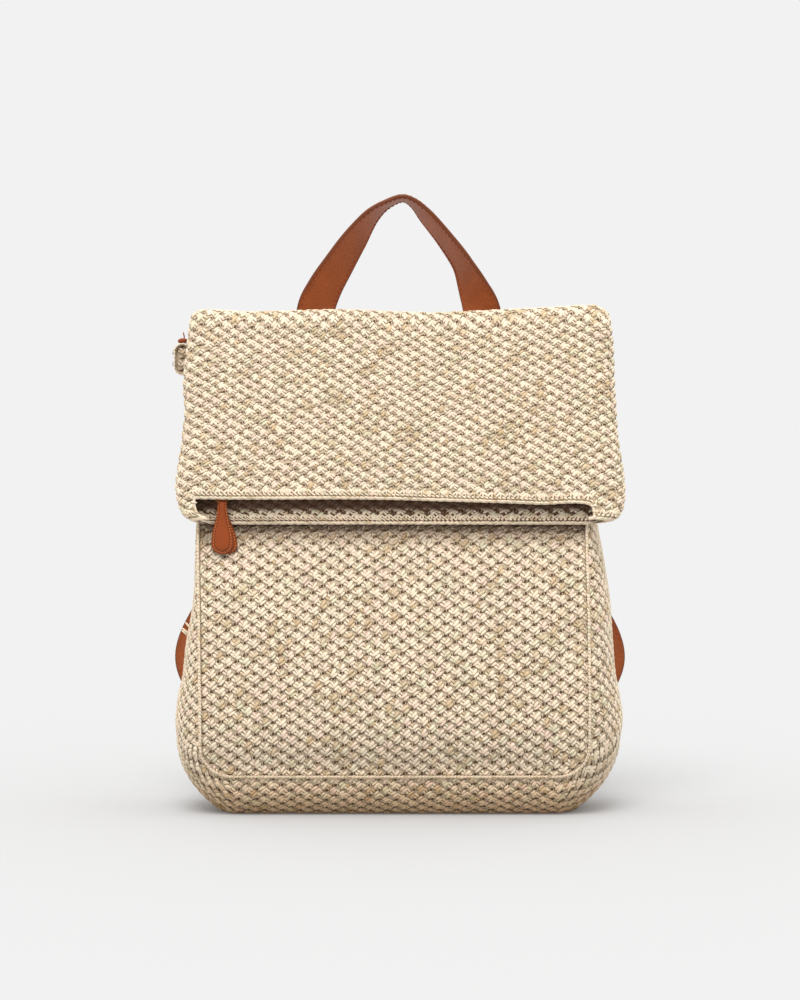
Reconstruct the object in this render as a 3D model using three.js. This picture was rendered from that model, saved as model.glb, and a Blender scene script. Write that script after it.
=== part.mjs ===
// A foldover backpack of woven straw with a leather handle, shoulder straps and zip pull.
// Millimetres, +Z up. The front faces -Y, and the origin is the middle of the flat underside.
import * as THREE from 'three';

// Body: front panel, back panel and the gusset that joins them round the sides and the bottom.
const seamWidth = 254; // between the two upright seams of the front panel
const sideBulge = 26; // gusset past the upright seams at its fullest
const bagDepth = 114; // front to back at the fullest
const bagHeight = 335; // floor to the top fold
const seamHeight = 27; // floor to the front panel's lower seam
const seamCorner = 20; // radius of the panels' lower corners
const frontShift = 3.7; // the front panel sags this far to the left
const floorSag = 8; // belly of the bottom that the floor presses flat
const frontCrown = 5; // the front panel's middle stands this far proud of its seams
const backCrown = 6;
const strawWall = 2; // woven straw
const gap = 0.3; // between pieces that touch
const seatGap = 0.8; // between a sewn-on leather end and the crowned back
const weltRadius = 1; // raised seam round the front panel

// Folded top: a flattened tube that turns over forwards and hangs down to the mouth.
const neckDepth = 12; // outside thickness where it leaves the body
const mouthDepth = 12; // outside thickness at the mouth
const neckLean = 8; // the neck stands this far behind the middle
const neckRise = 14; // upright stretch below the fold
const foldRadius = 10; // of the tube's middle surface round the fold
const flapFlare = 8.3; // at its widest the flap reaches this far past the neck on each side
const flapDrop = 141; // top fold to the lower edge of the inner layer
const hemStep = 14; // the outer layer ends this much above the inner one
const flapClearance = 3.4; // between the front panel and the inner layer at the mouth
const flapPuff = 3; // how far the outer layer bellies out
const flapCrown = 4;
const foldWave = 4; // depth of the soft waves along the fold
const capReach = 12.7; // rounded side edge of the flattened tube

// Zip across the mouth, with its slider and two-layer leather pull.
const zipTape = 1.2;
const zipInset = 5; // above the outer layer's edge
const zipWidth = 250;
const sliderLength = 10;
const sliderHeight = 5;
const sliderReach = 118; // from the middle, towards the left
const pullWidth = 14.5;
const pullLength = 33;
const pullTop = 6; // width of the pull's narrow end
const pullLayer = 1.5;
const pullOffset = 3; // the back layer hangs this far to the right
const pullPad = 0.8; // raised middle of the front layer
const pullBorder = 2.2; // flat border round the raised middle

// Leather handle.
const handleWidth = 26.5;
const handleThickness = 3;
const handleSpan = 113; // between the legs at the fold
const handleRise = 74; // above the fold
const handleTail = 62; // sewn flat down the back
const handleReturn = 5; // the arch leans forward by this much

// Leather shoulder straps.
const strapWidth = 25;
const strapThickness = 3;
const strapStand = 20; // how far a strap bows off the back

// Woven tab at the left side, with a scrap of leather over its top.
const tabWidth = 11.5;
const tabHeight = 21.5;
const tabDepth = 14;
const tabWall = 1.8;
const tabRise = 4; // the tab's middle below the neck
const trimWidth = 7;
const trimHeight = 3.6;
const trimInset = 1.5; // the scrap is this much shallower than the tab, front and back

// Fineness of the facets.
const columns = 14; // across a panel
const cornerRows = 4; // round a panel's lower corner
const sideRows = 15; // from there up to the neck
const capSteps = 8; // across the gusset, and round the tube's side edges
const foldRows = 8;
const flapRows = 12;
const weltSides = 6;
const ribbonSteps = 34;
const tailSteps = 4; // along the sewn end of the handle
const arcSteps = 8; // round the pull, the tab and its scrap

// Body sections going up. height: share of the way from lower seam to neck. fill: share of the depth that the
// bag has over the neck. lean: share of neckLean. shift: share of frontShift. crown: share of the panels'
// crowns. left, right: share of the reach that the gusset has over the neck's.
const bodySections = [
  { height: 0.0, fill: 0.84, lean: 0.0, shift: 0.9, crown: 0.3, left: 0.6, right: 0.66 },
  { height: 0.07, fill: 0.94, lean: 0.0, shift: 0.9, crown: 0.7, left: 0.6, right: 0.75 },
  { height: 0.12, fill: 0.99, lean: 0.0, shift: 0.9, crown: 0.9, left: 0.66, right: 0.88 },
  { height: 0.18, fill: 1.0, lean: 0.02, shift: 0.9, crown: 1.0, left: 0.53, right: 0.72 },
  { height: 0.23, fill: 1.0, lean: 0.04, shift: 0.95, crown: 1.0, left: 0.28, right: 0.52 },
  { height: 0.3, fill: 0.98, lean: 0.06, shift: 1.0, crown: 1.0, left: 0.11, right: 0.4 },
  { height: 0.41, fill: 0.91, lean: 0.12, shift: 1.1, crown: 0.95, left: -0.33, right: 0.25 },
  { height: 0.52, fill: 0.81, lean: 0.22, shift: 1.3, crown: 0.85, left: -0.50, right: -0.08 },
  { height: 0.6, fill: 0.71, lean: 0.32, shift: 1.3, crown: 0.75, left: -0.55, right: -0.35 },
  { height: 0.73, fill: 0.5, lean: 0.55, shift: 0.9, crown: 0.5, left: -0.5, right: -0.34 },
  { height: 0.86, fill: 0.25, lean: 0.8, shift: 0.4, crown: 0.2, left: -0.3, right: -0.2 },
  { height: 0.94, fill: 0.07, lean: 0.95, shift: 0.1, crown: 0.05, left: -0.1, right: -0.1 },
  { height: 1.0, fill: 0.0, lean: 1.0, shift: 0.0, crown: 0.0, left: 0.0, right: 0.0 },
];

// Folded top from neck to mouth. along: share of the tube's length. left, right: reach past the neck, as
// shares of flapFlare. puff: share of flapPuff. drop: share of flapCrown.
const flapSections = [
  { along: 0.0, left: 0.00, right: 0.00, puff: 0.0, drop: 0.0 },
  { along: 0.17, left: 0.00, right: 0.00, puff: 0.0, drop: 0.0 },
  { along: 0.25, left: 0.14, right: 0.19, puff: 0.15, drop: 0.1 },
  { along: 0.32, left: 0.28, right: 0.32, puff: 0.4, drop: 0.2 },
  { along: 0.48, left: 0.52, right: 0.38, puff: 0.9, drop: 0.5 },
  { along: 0.56, left: 0.35, right: 0.45, puff: 1.0, drop: 0.65 },
  { along: 0.69, left: 0.54, right: 0.57, puff: 1.0, drop: 0.8 },
  { along: 0.79, left: 0.81, right: 0.87, puff: 0.9, drop: 0.9 },
  { along: 0.86, left: 0.97, right: 1.00, puff: 0.7, drop: 1.0 },
  { along: 0.93, left: 0.75, right: 0.93, puff: 0.4, drop: 1.0 },
  { along: 0.97, left: 0.35, right: 0.60, puff: 0.1, drop: 1.0 },
  { along: 0.99, left: -0.15, right: 0.15, puff: 0.0, drop: 1.0 },
  { along: 1.0, left: -0.80, right: -0.70, puff: 0.0, drop: 1.0 },
];

// Across the flap from its left edge at -1 to its right edge at 1. rise: height of the fold line as a share
// of foldWave. step: how much of hemStep the outer layer's edge stands above the inner one's.
const flapAcross = [
  { across: -1.0, rise: 0.05, step: 1.0 },
  { across: -0.92, rise: -0.1, step: 1.0 },
  { across: -0.7, rise: -0.55, step: 1.0 },
  { across: -0.27, rise: -0.1, step: 1.0 },
  { across: 0.0, rise: -0.6, step: 0.98 },
  { across: 0.18, rise: -0.75, step: 0.93 },
  { across: 0.5, rise: -0.1, step: 0.82 },
  { across: 0.68, rise: 0.3, step: 0.74 },
  { across: 0.92, rise: 0.85, step: 0.7 },
  { across: 1.0, rise: 0.4, step: 0.0 },
];

// Arch of the handle. across: share of half the span. rise: share of the rise. turn: share of a quarter turn.
const handleArch = [
  { across: -1.0, rise: 0.0, turn: 0.2 },
  { across: -0.9, rise: 0.185, turn: 0.36 },
  { across: -0.73, rise: 0.4, turn: 0.49 },
  { across: -0.545, rise: 0.62, turn: 0.61 },
  { across: -0.338, rise: 0.837, turn: 0.8 },
  { across: -0.154, rise: 0.946, turn: 0.93 },
  { across: 0.04, rise: 1.0, turn: 0.97 },
  { across: 0.166, rise: 0.955, turn: 0.92 },
  { across: 0.314, rise: 0.837, turn: 0.82 },
  { across: 0.545, rise: 0.62, turn: 0.77 },
  { across: 0.747, rise: 0.4, turn: 0.7 },
  { across: 0.878, rise: 0.185, turn: 0.48 },
  { across: 0.97, rise: 0.0, turn: 0.25 },
];

// Route of a shoulder strap down the back. across: share of half the seam width. height: share of the neck's
// height. stand: share of strapStand.
const strapRoute = [
  { across: 0.2, height: 0.97, stand: 0.0 },
  { across: 0.21, height: 0.9, stand: 0.0 },
  { across: 0.3, height: 0.81, stand: 0.45 },
  { across: 0.5, height: 0.68, stand: 0.9 },
  { across: 0.78, height: 0.54, stand: 1.0 },
  { across: 1.04, height: 0.41, stand: 0.75 },
  { across: 1.13, height: 0.31, stand: 0.4 },
  { across: 1.02, height: 0.22, stand: 0.15 },
  { across: 0.87, height: 0.145, stand: 0.05 },
  { across: 0.79, height: 0.11, stand: 0.05 },
];

// Worked out from the sizes above.
const seamHalf = seamWidth / 2;
const foldCentre = bagHeight - foldRadius - neckDepth / 2;
const neckHeight = foldCentre - neckRise;
const mouthHeight = bagHeight - flapDrop;
const rows = cornerRows + sideRows;
const neckHalf = seamHalf + capReach; // half the neck's width, side edges included
const flatHalf = seamHalf + flapFlare; // half the flap's width, less its rounded side edges

const vec = (x, y, z) => new THREE.Vector3(x, y, z);
const mix = THREE.MathUtils.lerp;

// A smooth curve through one column of a table, level at both ends.
function readTable(table, place, column, at) {
  const last = table.length - 1;
  const share = THREE.MathUtils.clamp(at, table[0][place], table[last][place]);
  let i = 0;
  while (i < last - 1 && table[i + 1][place] < share) i += 1;
  const slope = (k) => {
    if (k === 0 || k === last) return 0;
    const run = table[k + 1][place] - table[k - 1][place];
    return (table[k + 1][column] - table[k - 1][column]) / run;
  };
  const span = table[i + 1][place] - table[i][place];
  const t = (share - table[i][place]) / span;
  const t2 = t * t;
  const t3 = t2 * t;
  return (2 * t3 - 3 * t2 + 1) * table[i][column] + (t3 - 2 * t2 + t) * span * slope(i)
    + (3 * t2 - 2 * t3) * table[i + 1][column] + (t3 - t2) * span * slope(i + 1);
}

// The body at one height.
function bodySection(z) {
  const share = (z - seamHeight) / (neckHeight - seamHeight);
  const read = (column) => readTable(bodySections, 'height', column, share);
  const depth = mix(neckDepth, bagDepth, read('fill'));
  const middle = neckLean * read('lean');
  return {
    front: middle - depth / 2,
    back: middle + depth / 2,
    shift: -frontShift * read('shift'),
    crown: read('crown'),
    left: mix(capReach, sideBulge, read('left')),
    right: mix(capReach, sideBulge, read('right')),
  };
}

// Height, half width and turn of a panel's edge at one row. The first rows go round the lower corner.
function panelRow(row) {
  if (row <= cornerRows) {
    const angle = (Math.PI / 2) * (row / cornerRows);
    const z = seamHeight + seamCorner * (1 - Math.cos(angle));
    return { z, half: seamHalf - seamCorner * (1 - Math.sin(angle)), turn: 1 - row / cornerRows };
  }
  const straight = neckHeight - gap / 2 - seamHeight - seamCorner;
  const z = seamHeight + seamCorner + straight * ((row - cornerRows) / sideRows);
  return { z, half: seamHalf, turn: 0 };
}

// A point of the front panel (side -1) or the back panel (side 1).
function panelPoint(side, row, column) {
  const { z, half } = panelRow(row);
  const section = bodySection(z);
  const across = mix(-1, 1, column / columns);
  const shift = side < 0 ? section.shift : 0;
  const crown = section.crown * (side < 0 ? frontCrown : backCrown);
  const seam = side < 0 ? section.front : section.back;
  const bulge = crown * (1 - across * across) * Math.min(1, row / cornerRows);
  return vec(shift + across * half, seam + side * bulge, z);
}

// Rows and columns of a panel's edge, from the neck down the left, along the bottom and up the right.
function edgeStops() {
  const stops = [];
  for (let row = rows; row > 0; row -= 1) stops.push({ row, column: 0 });
  for (let column = 0; column <= columns; column += 1) stops.push({ row: 0, column });
  for (let row = 1; row <= rows; row += 1) stops.push({ row, column: columns });
  return stops;
}

// Which way the gusset bulges at a stop, and how far.
function gussetBulge({ row, column }) {
  const { z, turn } = panelRow(row);
  const floor = seamHeight + floorSag;
  if (row === 0 && column > 0 && column < columns) return vec(0, 0, -floor);
  const section = bodySection(z);
  const side = column === 0 ? -1 : 1;
  const reach = mix(side < 0 ? section.left : section.right, floor, turn ** 3);
  const angle = (Math.PI / 2) * turn;
  return vec(side * Math.cos(angle), 0, -Math.sin(angle)).multiplyScalar(reach);
}

// Half an oval from the front seam to the back seam, out to a reach and pressed flat by the floor.
function halfOval(front, back, reach, floor) {
  const line = [];
  for (let i = 0; i <= capSteps; i += 1) {
    const angle = Math.PI * (i / capSteps);
    const point = front.clone().lerp(back, (1 - Math.cos(angle)) / 2).addScaledVector(reach, Math.sin(angle));
    point.z = Math.max(point.z, floor);
    line.push(point);
  }
  return line;
}

function gussetGrid() {
  return edgeStops().map((stop) => {
    const front = panelPoint(-1, stop.row, stop.column);
    const back = panelPoint(1, stop.row, stop.column);
    return halfOval(front, back, gussetBulge(stop), 0);
  });
}

// The gusset's inner face: half ovals between the inner edges of its seams, a wall inside the outer ones.
function gussetInside(outer, frontSeam, backSeam) {
  return edgeStops().map((stop, k) => {
    const bulge = gussetBulge(stop);
    const ends = [frontSeam[k], backSeam[k]].map(({ inside }) => inside);
    const middle = frontSeam[k].point.clone().lerp(backSeam[k].point, 0.5).add(bulge);
    middle.addScaledVector(bulge.clone().normalize(), -strawWall);
    const reach = middle.sub(ends[0].clone().lerp(ends[1], 0.5));
    return halfOval(ends[0], ends[1], reach, strawWall);
  });
}

function panelGrid(side) {
  const grid = [];
  for (let row = 0; row <= rows; row += 1) {
    const line = [];
    for (let column = 0; column <= columns; column += 1) line.push(panelPoint(side, row, column));
    grid.push(line);
  }
  return grid;
}

// Surface normals of a grid, from the differences between its points.
function gridNormals(grid, flip, closed) {
  const lastRow = grid.length - 1;
  const lastColumn = grid[0].length - 1;
  const at = (i, j) => {
    const row = grid[THREE.MathUtils.clamp(i, 0, lastRow)];
    return closed ? row[(j + row.length) % row.length] : row[THREE.MathUtils.clamp(j, 0, lastColumn)];
  };
  return grid.map((line, i) => line.map((point, j) => {
    const down = at(i + 1, j).clone().sub(at(i - 1, j));
    const over = at(i, j + 1).clone().sub(at(i, j - 1));
    return down.cross(over).normalize().multiplyScalar(flip ? -1 : 1);
  }));
}

// A closed mesh from triangles, turned so that its faces point out.
function closedGeometry(points, triangles) {
  let volume = 0;
  for (let i = 0; i < triangles.length; i += 3) {
    const [a, b, c] = [0, 1, 2].map((k) => points[triangles[i + k]]);
    volume += a.dot(b.clone().cross(c));
  }
  if (volume < 0) triangles.reverse();
  const geometry = new THREE.BufferGeometry().setFromPoints(points);
  geometry.setIndex(triangles);
  geometry.computeVertexNormals();
  return geometry;
}

// A wall between an outer and an inner grid of points, closed along its free edges.
function wallGeometry(outer, inner, closed = false) {
  const high = outer.length;
  const wide = outer[0].length;
  const points = [...outer.flat(), ...inner.flat()];
  const triangles = [];
  const face = (a, b, c, d) => triangles.push(a, b, c, a, c, d);
  const out = (i, j) => i * wide + (j % wide);
  const back = (i, j) => high * wide + out(i, j);
  const spans = closed ? wide : wide - 1;
  for (let j = 0; j < spans; j += 1) {
    for (let i = 0; i < high - 1; i += 1) {
      face(out(i, j), out(i + 1, j), out(i + 1, j + 1), out(i, j + 1));
      face(back(i, j), back(i, j + 1), back(i + 1, j + 1), back(i + 1, j));
    }
    face(out(0, j), out(0, j + 1), back(0, j + 1), back(0, j));
    face(out(high - 1, j), back(high - 1, j), back(high - 1, j + 1), out(high - 1, j + 1));
  }
  if (!closed) {
    for (let i = 0; i < high - 1; i += 1) {
      face(out(i, 0), back(i, 0), back(i + 1, 0), out(i + 1, 0));
      face(out(i, wide - 1), out(i + 1, wide - 1), back(i + 1, wide - 1), back(i, wide - 1));
    }
  }
  return closedGeometry(points, triangles);
}

// The inner face of a wall, straight behind the outer one.
function innerGrid(outer, normals, wall) {
  return outer.map((line, i) => line.map((point, j) => point.clone().addScaledVector(normals[i][j], -wall)));
}

// The seams between the gusset and one panel: the outer and inner edge that they share, and the way along
// which the panel draws back from the gusset.
function bodySeam(side, panel, panelNormals, gusset, gussetNormals) {
  const edge = side < 0 ? 0 : capSteps;
  const points = gusset.map((line) => line[edge]);
  const middle = panel[Math.round(rows / 2)][Math.round(columns / 2)];
  return edgeStops().map(({ row, column }, k) => {
    const point = points[k];
    const before = points[Math.max(k - 1, 0)];
    const after = points[Math.min(k + 1, points.length - 1)];
    const face = panelNormals[row][column];
    const normal = face.clone().add(gussetNormals[k][edge]).normalize();
    const apart = normal.clone().cross(after.clone().sub(before)).normalize();
    if (apart.dot(middle.clone().sub(point)) < 0) apart.negate();
    const inside = point.clone().addScaledVector(normal, -strawWall / normal.dot(face));
    return { point, inside, normal, apart };
  });
}

// Moves an edge of a wall to its own side of the seam.
function sewEdge(outer, inner, i, j, seam, way) {
  const offset = seam.apart.clone().multiplyScalar((way * gap) / 2);
  outer[i][j] = seam.point.clone().add(offset);
  inner[i][j] = seam.inside.clone().add(offset);
}

function bodyWalls() {
  const gusset = gussetGrid();
  const gussetNormals = gridNormals(gusset, true, false);
  const pieces = [['front', -1], ['back', 1]].map(([name, side]) => {
    const outer = panelGrid(side);
    const normals = gridNormals(outer, side < 0, false);
    const seam = bodySeam(side, outer, normals, gusset, gussetNormals);
    return { name, side, outer, inner: innerGrid(outer, normals, strawWall), seam };
  });
  const [front, back] = pieces;
  const gussetInner = gussetInside(gusset, front.seam, back.seam);
  for (const { side, outer, inner, seam } of pieces) {
    edgeStops().forEach(({ row, column }, k) => {
      sewEdge(outer, inner, row, column, seam[k], 1);
      sewEdge(gusset, gussetInner, k, side < 0 ? 0 : capSteps, seam[k], -1);
    });
  }
  return {
    front: wallGeometry(front.outer, front.inner),
    back: wallGeometry(back.outer, back.inner),
    gusset: wallGeometry(gusset, gussetInner),
    seam: front.seam,
  };
}

// The tube's middle line in side view: up from the neck, round the fold, then straight to the mouth.
function foldLine() {
  const centre = { y: neckLean - foldRadius, z: foldCentre };
  const section = bodySection(mouthHeight);
  const mouth = {
    y: section.front - section.crown * frontCrown - flapClearance - mouthDepth / 2 + flapCrown,
    z: mouthHeight,
  };
  const away = { y: mouth.y - centre.y, z: mouth.z - centre.z };
  const reach = Math.hypot(away.y, away.z);
  const turned = Math.atan2(away.z, away.y) + 2 * Math.PI - Math.acos(foldRadius / reach);
  const straight = Math.sqrt(reach * reach - foldRadius * foldRadius);
  return { centre, mouth, turned, straight, length: neckRise + foldRadius * turned + straight };
}

const fold = foldLine();

// Place and outward direction on the tube's middle line, at a distance from the neck.
function onFoldLine(distance) {
  const { centre, turned, straight } = fold;
  const angle = THREE.MathUtils.clamp((distance - neckRise) / foldRadius, 0, turned);
  const out = { y: Math.cos(angle), z: Math.sin(angle) };
  const y = centre.y + foldRadius * out.y;
  const z = centre.z + foldRadius * out.z;
  if (distance < neckRise) return { y, z: z + distance - neckRise, out, lifted: 0 };
  const past = Math.max(0, distance - neckRise - foldRadius * turned);
  const lifted = angle < turned ? Math.sin(Math.PI * (angle / turned) * 0.5) : 1 - past / straight;
  return { y: y - out.z * past, z: z + out.y * past, out, lifted };
}

// A point of the folded top. layer: 1 on the outer layer, -1 on the inner one, between them round the edges.
function topPoint(distance, across, layer, bend) {
  const { y, z, out, lifted } = onFoldLine(distance);
  const share = distance / fold.length;
  const read = (column) => readTable(flapSections, 'along', column, share);
  const left = -neckHalf - flapFlare * read('left');
  const right = neckHalf + flapFlare * read('right');
  const x = mix(left + capReach, right - capReach, (across + 1) / 2) + bend * capReach;
  const half = mix(neckDepth, mouthDepth, share) / 2 + (layer > 0 ? layer * flapPuff * read('puff') : 0);
  const wide = THREE.MathUtils.clamp((2 * x - left - right) / (right - left), -1, 1);
  const rise = foldWave * readTable(flapAcross, 'across', 'rise', wide) * lifted;
  const crown = flapCrown * read('drop') * (1 - wide * wide);
  return vec(x, y + out.y * half * layer - crown, z + out.z * half * layer + rise);
}

// Stops round the tube: the inner layer from left to right, the right edge, the outer layer from right to
// left, then the left edge.
function loopStops() {
  const stops = [];
  for (let i = 0; i <= columns; i += 1) stops.push({ across: mix(-1, 1, i / columns), layer: -1, bend: 0 });
  for (let i = 1; i < capSteps; i += 1) {
    const angle = Math.PI * (i / capSteps);
    stops.push({ across: 1, layer: -Math.cos(angle), bend: Math.sin(angle) });
  }
  for (let i = columns; i >= 0; i -= 1) stops.push({ across: mix(-1, 1, i / columns), layer: 1, bend: 0 });
  for (let i = 1; i < capSteps; i += 1) {
    const angle = Math.PI * (i / capSteps);
    stops.push({ across: -1, layer: Math.cos(angle), bend: -Math.sin(angle) });
  }
  return stops;
}

// Distances of the tube's rows from the neck, closer together towards the rounded corners of the mouth.
function topDistances() {
  const bend = neckRise + foldRadius * fold.turned;
  const distances = [gap / 2, neckRise];
  for (let i = 1; i <= foldRows; i += 1) distances.push(mix(neckRise, bend, i / foldRows));
  for (let i = 1; i <= flapRows; i += 1) {
    distances.push(mix(bend, fold.length, Math.sin((Math.PI / 2) * (i / flapRows))));
  }
  return distances;
}

// Where the wall of the folded top ends at one stop, as a share of its length.
function mouthShare({ across, layer }) {
  if (layer < 1) return 1;
  return 1 - (hemStep / fold.length) * readTable(flapAcross, 'across', 'step', across);
}

function foldedTop() {
  const stops = loopStops();
  const bend = neckRise + foldRadius * fold.turned;
  const outer = topDistances().map((distance) => stops.map((stop) => {
    const end = fold.length * mouthShare(stop);
    const at = distance < bend ? distance : mix(bend, end, (distance - bend) / (fold.length - bend));
    return topPoint(at, stop.across, stop.layer, stop.bend);
  }));
  const normals = gridNormals(outer, true, true);
  return wallGeometry(outer, innerGrid(outer, normals, strawWall), true);
}

// A tube laid outside a seam, standing a gap off the walls.
function weltGeometry(seam) {
  const centres = seam.map(({ point, normal }) => point.clone().addScaledVector(normal, gap + weltRadius));
  const rings = centres.map((centre, k) => {
    const ahead = centres[Math.min(k + 1, centres.length - 1)];
    const behind = centres[Math.max(k - 1, 0)];
    const along = ahead.clone().sub(behind).normalize();
    const up = seam[k].normal;
    const over = up.clone().cross(along).normalize();
    const ring = [];
    for (let i = 0; i < weltSides; i += 1) {
      const angle = 2 * Math.PI * (i / weltSides);
      ring.push(centre.clone().addScaledVector(up, weltRadius * Math.cos(angle))
        .addScaledVector(over, weltRadius * Math.sin(angle)));
    }
    return ring;
  });
  return cappedRings(rings);
}

// A solid through rings of points, closed by a flat face at each end.
function cappedRings(rings) {
  const sides = rings[0].length;
  const points = rings.flat();
  const triangles = [];
  for (let i = 0; i < rings.length - 1; i += 1) {
    for (let j = 0; j < sides; j += 1) {
      const a = i * sides + j;
      const b = i * sides + ((j + 1) % sides);
      triangles.push(a, b, b + sides, a, b + sides, a + sides);
    }
  }
  const last = (rings.length - 1) * sides;
  for (let j = 1; j < sides - 1; j += 1) {
    triangles.push(0, j + 1, j, last, last + j, last + j + 1);
  }
  return closedGeometry(points, triangles);
}

// A flat ribbon along a route of { point, side } rows, where side points across the ribbon.
function ribbonGeometry(route, width, thickness) {
  const curve = new THREE.CatmullRomCurve3(route.map(({ point }) => point), false, 'centripetal');
  const sides = new THREE.CatmullRomCurve3(route.map(({ side }) => side), false, 'centripetal');
  const rings = [];
  for (let i = 0; i <= ribbonSteps; i += 1) {
    const t = i / ribbonSteps;
    const centre = curve.getPoint(t);
    const along = curve.getTangent(t);
    const side = sides.getPoint(t);
    side.addScaledVector(along, -side.dot(along)).normalize();
    const face = along.clone().cross(side);
    const corner = (a, b) => centre.clone().addScaledVector(side, (a * width) / 2)
      .addScaledVector(face, (b * thickness) / 2);
    rings.push([corner(-1, -1), corner(1, -1), corner(1, 1), corner(-1, 1)]);
  }
  return cappedRings(rings);
}

// How far back the bag reaches at a height, away from its crown.
function backReach(z) {
  if (z < neckHeight) return bodySection(z).back;
  const outside = foldRadius + neckDepth / 2;
  const above = Math.max(0, z - foldCentre);
  return neckLean - foldRadius + Math.sqrt(outside * outside - above * above);
}

// The crowned back panel at a place, for what is sewn onto it.
function backAt(x, z) {
  const section = bodySection(z);
  const across = Math.min(1, Math.abs(x) / seamHalf);
  return backReach(z) + (z < neckHeight ? section.crown * backCrown * (1 - across * across) : 0);
}

// How fast the back recedes from a point towards a direction.
function slopeAlong(point, way) {
  const step = strawWall;
  const ahead = backAt(point.x + way.x * step, point.z + way.z * step);
  return (ahead - backAt(point.x - way.x * step, point.z - way.z * step)) / (2 * step);
}

// One sewn end of the handle, from low on the back up to just under the fold.
function handleEnd(side) {
  const seat = seatGap + handleThickness / 2;
  const x = (side * handleSpan) / 2;
  const low = bagHeight - handleTail;
  const tail = [];
  for (let i = 0; i <= tailSteps; i += 1) {
    const z = mix(low, foldCentre, i / tailSteps);
    tail.push({ point: vec(x, backAt(x, z) + seat, z), side: vec(-side, 0, 0) });
  }
  return tail;
}

function handleGeometry() {
  const start = handleEnd(-1);
  const end = handleEnd(1);
  const seatY = start[start.length - 1].point.y;
  const arch = handleArch.map(({ across, rise, turn }) => {
    const point = vec((across * handleSpan) / 2, seatY - handleReturn * rise, bagHeight + rise * handleRise);
    return { point, turn };
  });
  const turned = arch.map(({ point, turn }, k) => {
    const ahead = arch[Math.min(k + 1, arch.length - 1)].point;
    const behind = arch[Math.max(k - 1, 0)].point;
    const along = ahead.clone().sub(behind).normalize();
    const flat = vec(0, 1, 0).cross(along).normalize();
    const angle = (Math.PI / 2) * turn;
    return { point, side: flat.multiplyScalar(Math.cos(angle)).add(vec(0, Math.sin(angle), 0)) };
  });
  return ribbonGeometry([...start, ...turned, ...end.reverse()], handleWidth, handleThickness);
}

function strapGeometry(side) {
  const seat = seatGap + strapThickness / 2;
  const points = strapRoute.map(({ across, height, stand }) => {
    const x = side * across * seamHalf;
    const z = height * neckHeight;
    return vec(x, backAt(x, z) + seat + strapStand * stand, z);
  });
  const route = points.map((point, k) => {
    const ahead = points[Math.min(k + 1, points.length - 1)];
    const behind = points[Math.max(k - 1, 0)];
    const across = vec(0, 1, 0).cross(ahead.clone().sub(behind)).normalize();
    across.y = slopeAlong(point, across) * (1 - strapRoute[k].stand);
    return { point, side: across };
  });
  return ribbonGeometry(route, strapWidth, strapThickness);
}

// Middle of the space between the two layers at a distance from the neck, near the mouth.
function mouthMiddle(x, distance) {
  const across = x / flatHalf;
  return topPoint(distance, across, 0, 0);
}

const zipDistance = fold.length - hemStep - zipInset;

function zipTapeGeometry() {
  const { out } = onFoldLine(zipDistance);
  const half = mouthDepth / 2 - strawWall - gap;
  const rings = [];
  for (let i = 0; i <= columns; i += 1) {
    const centre = mouthMiddle(mix(-zipWidth / 2, zipWidth / 2, i / columns), zipDistance);
    const corner = (a, b) => centre.clone()
      .add(vec(0, out.y * a * half - out.z * b * zipTape / 2, out.z * a * half + out.y * b * zipTape / 2));
    rings.push([corner(-1, -1), corner(1, -1), corner(1, 1), corner(-1, 1)]);
  }
  return cappedRings(rings);
}

// A blunt wedge under the tape, square to the tube.
function sliderGeometry() {
  const below = zipTape / 2 + gap + sliderHeight / 2;
  const centre = mouthMiddle(-sliderReach, zipDistance + below);
  const half = sliderLength / 2;
  const deep = sliderHeight / 2;
  const shape = new THREE.Shape();
  shape.moveTo(-half, -deep / 2);
  shape.lineTo(-half / 2, -deep);
  shape.lineTo(half / 2, -deep);
  shape.lineTo(half, -deep / 2);
  shape.lineTo(half, deep);
  shape.lineTo(-half, deep);
  shape.closePath();
  const geometry = new THREE.ExtrudeGeometry(shape, { depth: sliderHeight, bevelEnabled: false });
  geometry.translate(0, 0, -deep);
  geometry.rotateX(Math.PI / 2 - Math.asin(onFoldLine(zipDistance).out.z));
  geometry.translate(centre.x, centre.y, centre.z);
  return geometry;
}

// Outline of the teardrop pull, hanging down from its narrow top at the origin.
function pullShape(inset) {
  const round = pullWidth / 2 - inset;
  const top = pullTop / 2 - inset / 2;
  const low = -pullLength + inset + round;
  const shape = new THREE.Shape();
  shape.moveTo(-top, -inset);
  shape.bezierCurveTo(-top, low / 2, -round, low / 2, -round, low);
  shape.absarc(0, low, round, Math.PI, 2 * Math.PI, false);
  shape.bezierCurveTo(round, low / 2, top, low / 2, top, -inset);
  shape.closePath();
  return shape;
}

// The pull hangs from the slider, against the inner layer's edge. This is the middle of its back at the top.
function pullPlace() {
  const below = zipTape / 2 + 2 * gap + sliderHeight;
  const top = mouthMiddle(-sliderReach, zipDistance + below);
  const across = -sliderReach / flatHalf;
  const edge = topPoint(fold.length, across, (2 * strawWall) / mouthDepth - 1, 0);
  return vec(top.x, edge.y - gap, top.z - gap);
}

// One layer of the pull, from its back to its front measured forwards from the place.
function pullLayerGeometry(inset, back, front, shift) {
  const options = { depth: front - back, bevelEnabled: false, curveSegments: arcSteps };
  const geometry = new THREE.ExtrudeGeometry(pullShape(inset), options);
  geometry.rotateX(Math.PI / 2);
  const place = pullPlace();
  geometry.translate(place.x + shift, place.y - back, place.z);
  return geometry;
}

// A folded woven loop, seen from the front as a narrow ring, standing off the bag's left edge.
function tabCentre() {
  const z = neckHeight - tabRise;
  const section = bodySection(z);
  const x = -seamHalf + section.shift / 2 - section.left - gap - tabWidth / 2;
  return vec(x, (section.front + section.back) / 2, z);
}

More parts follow.
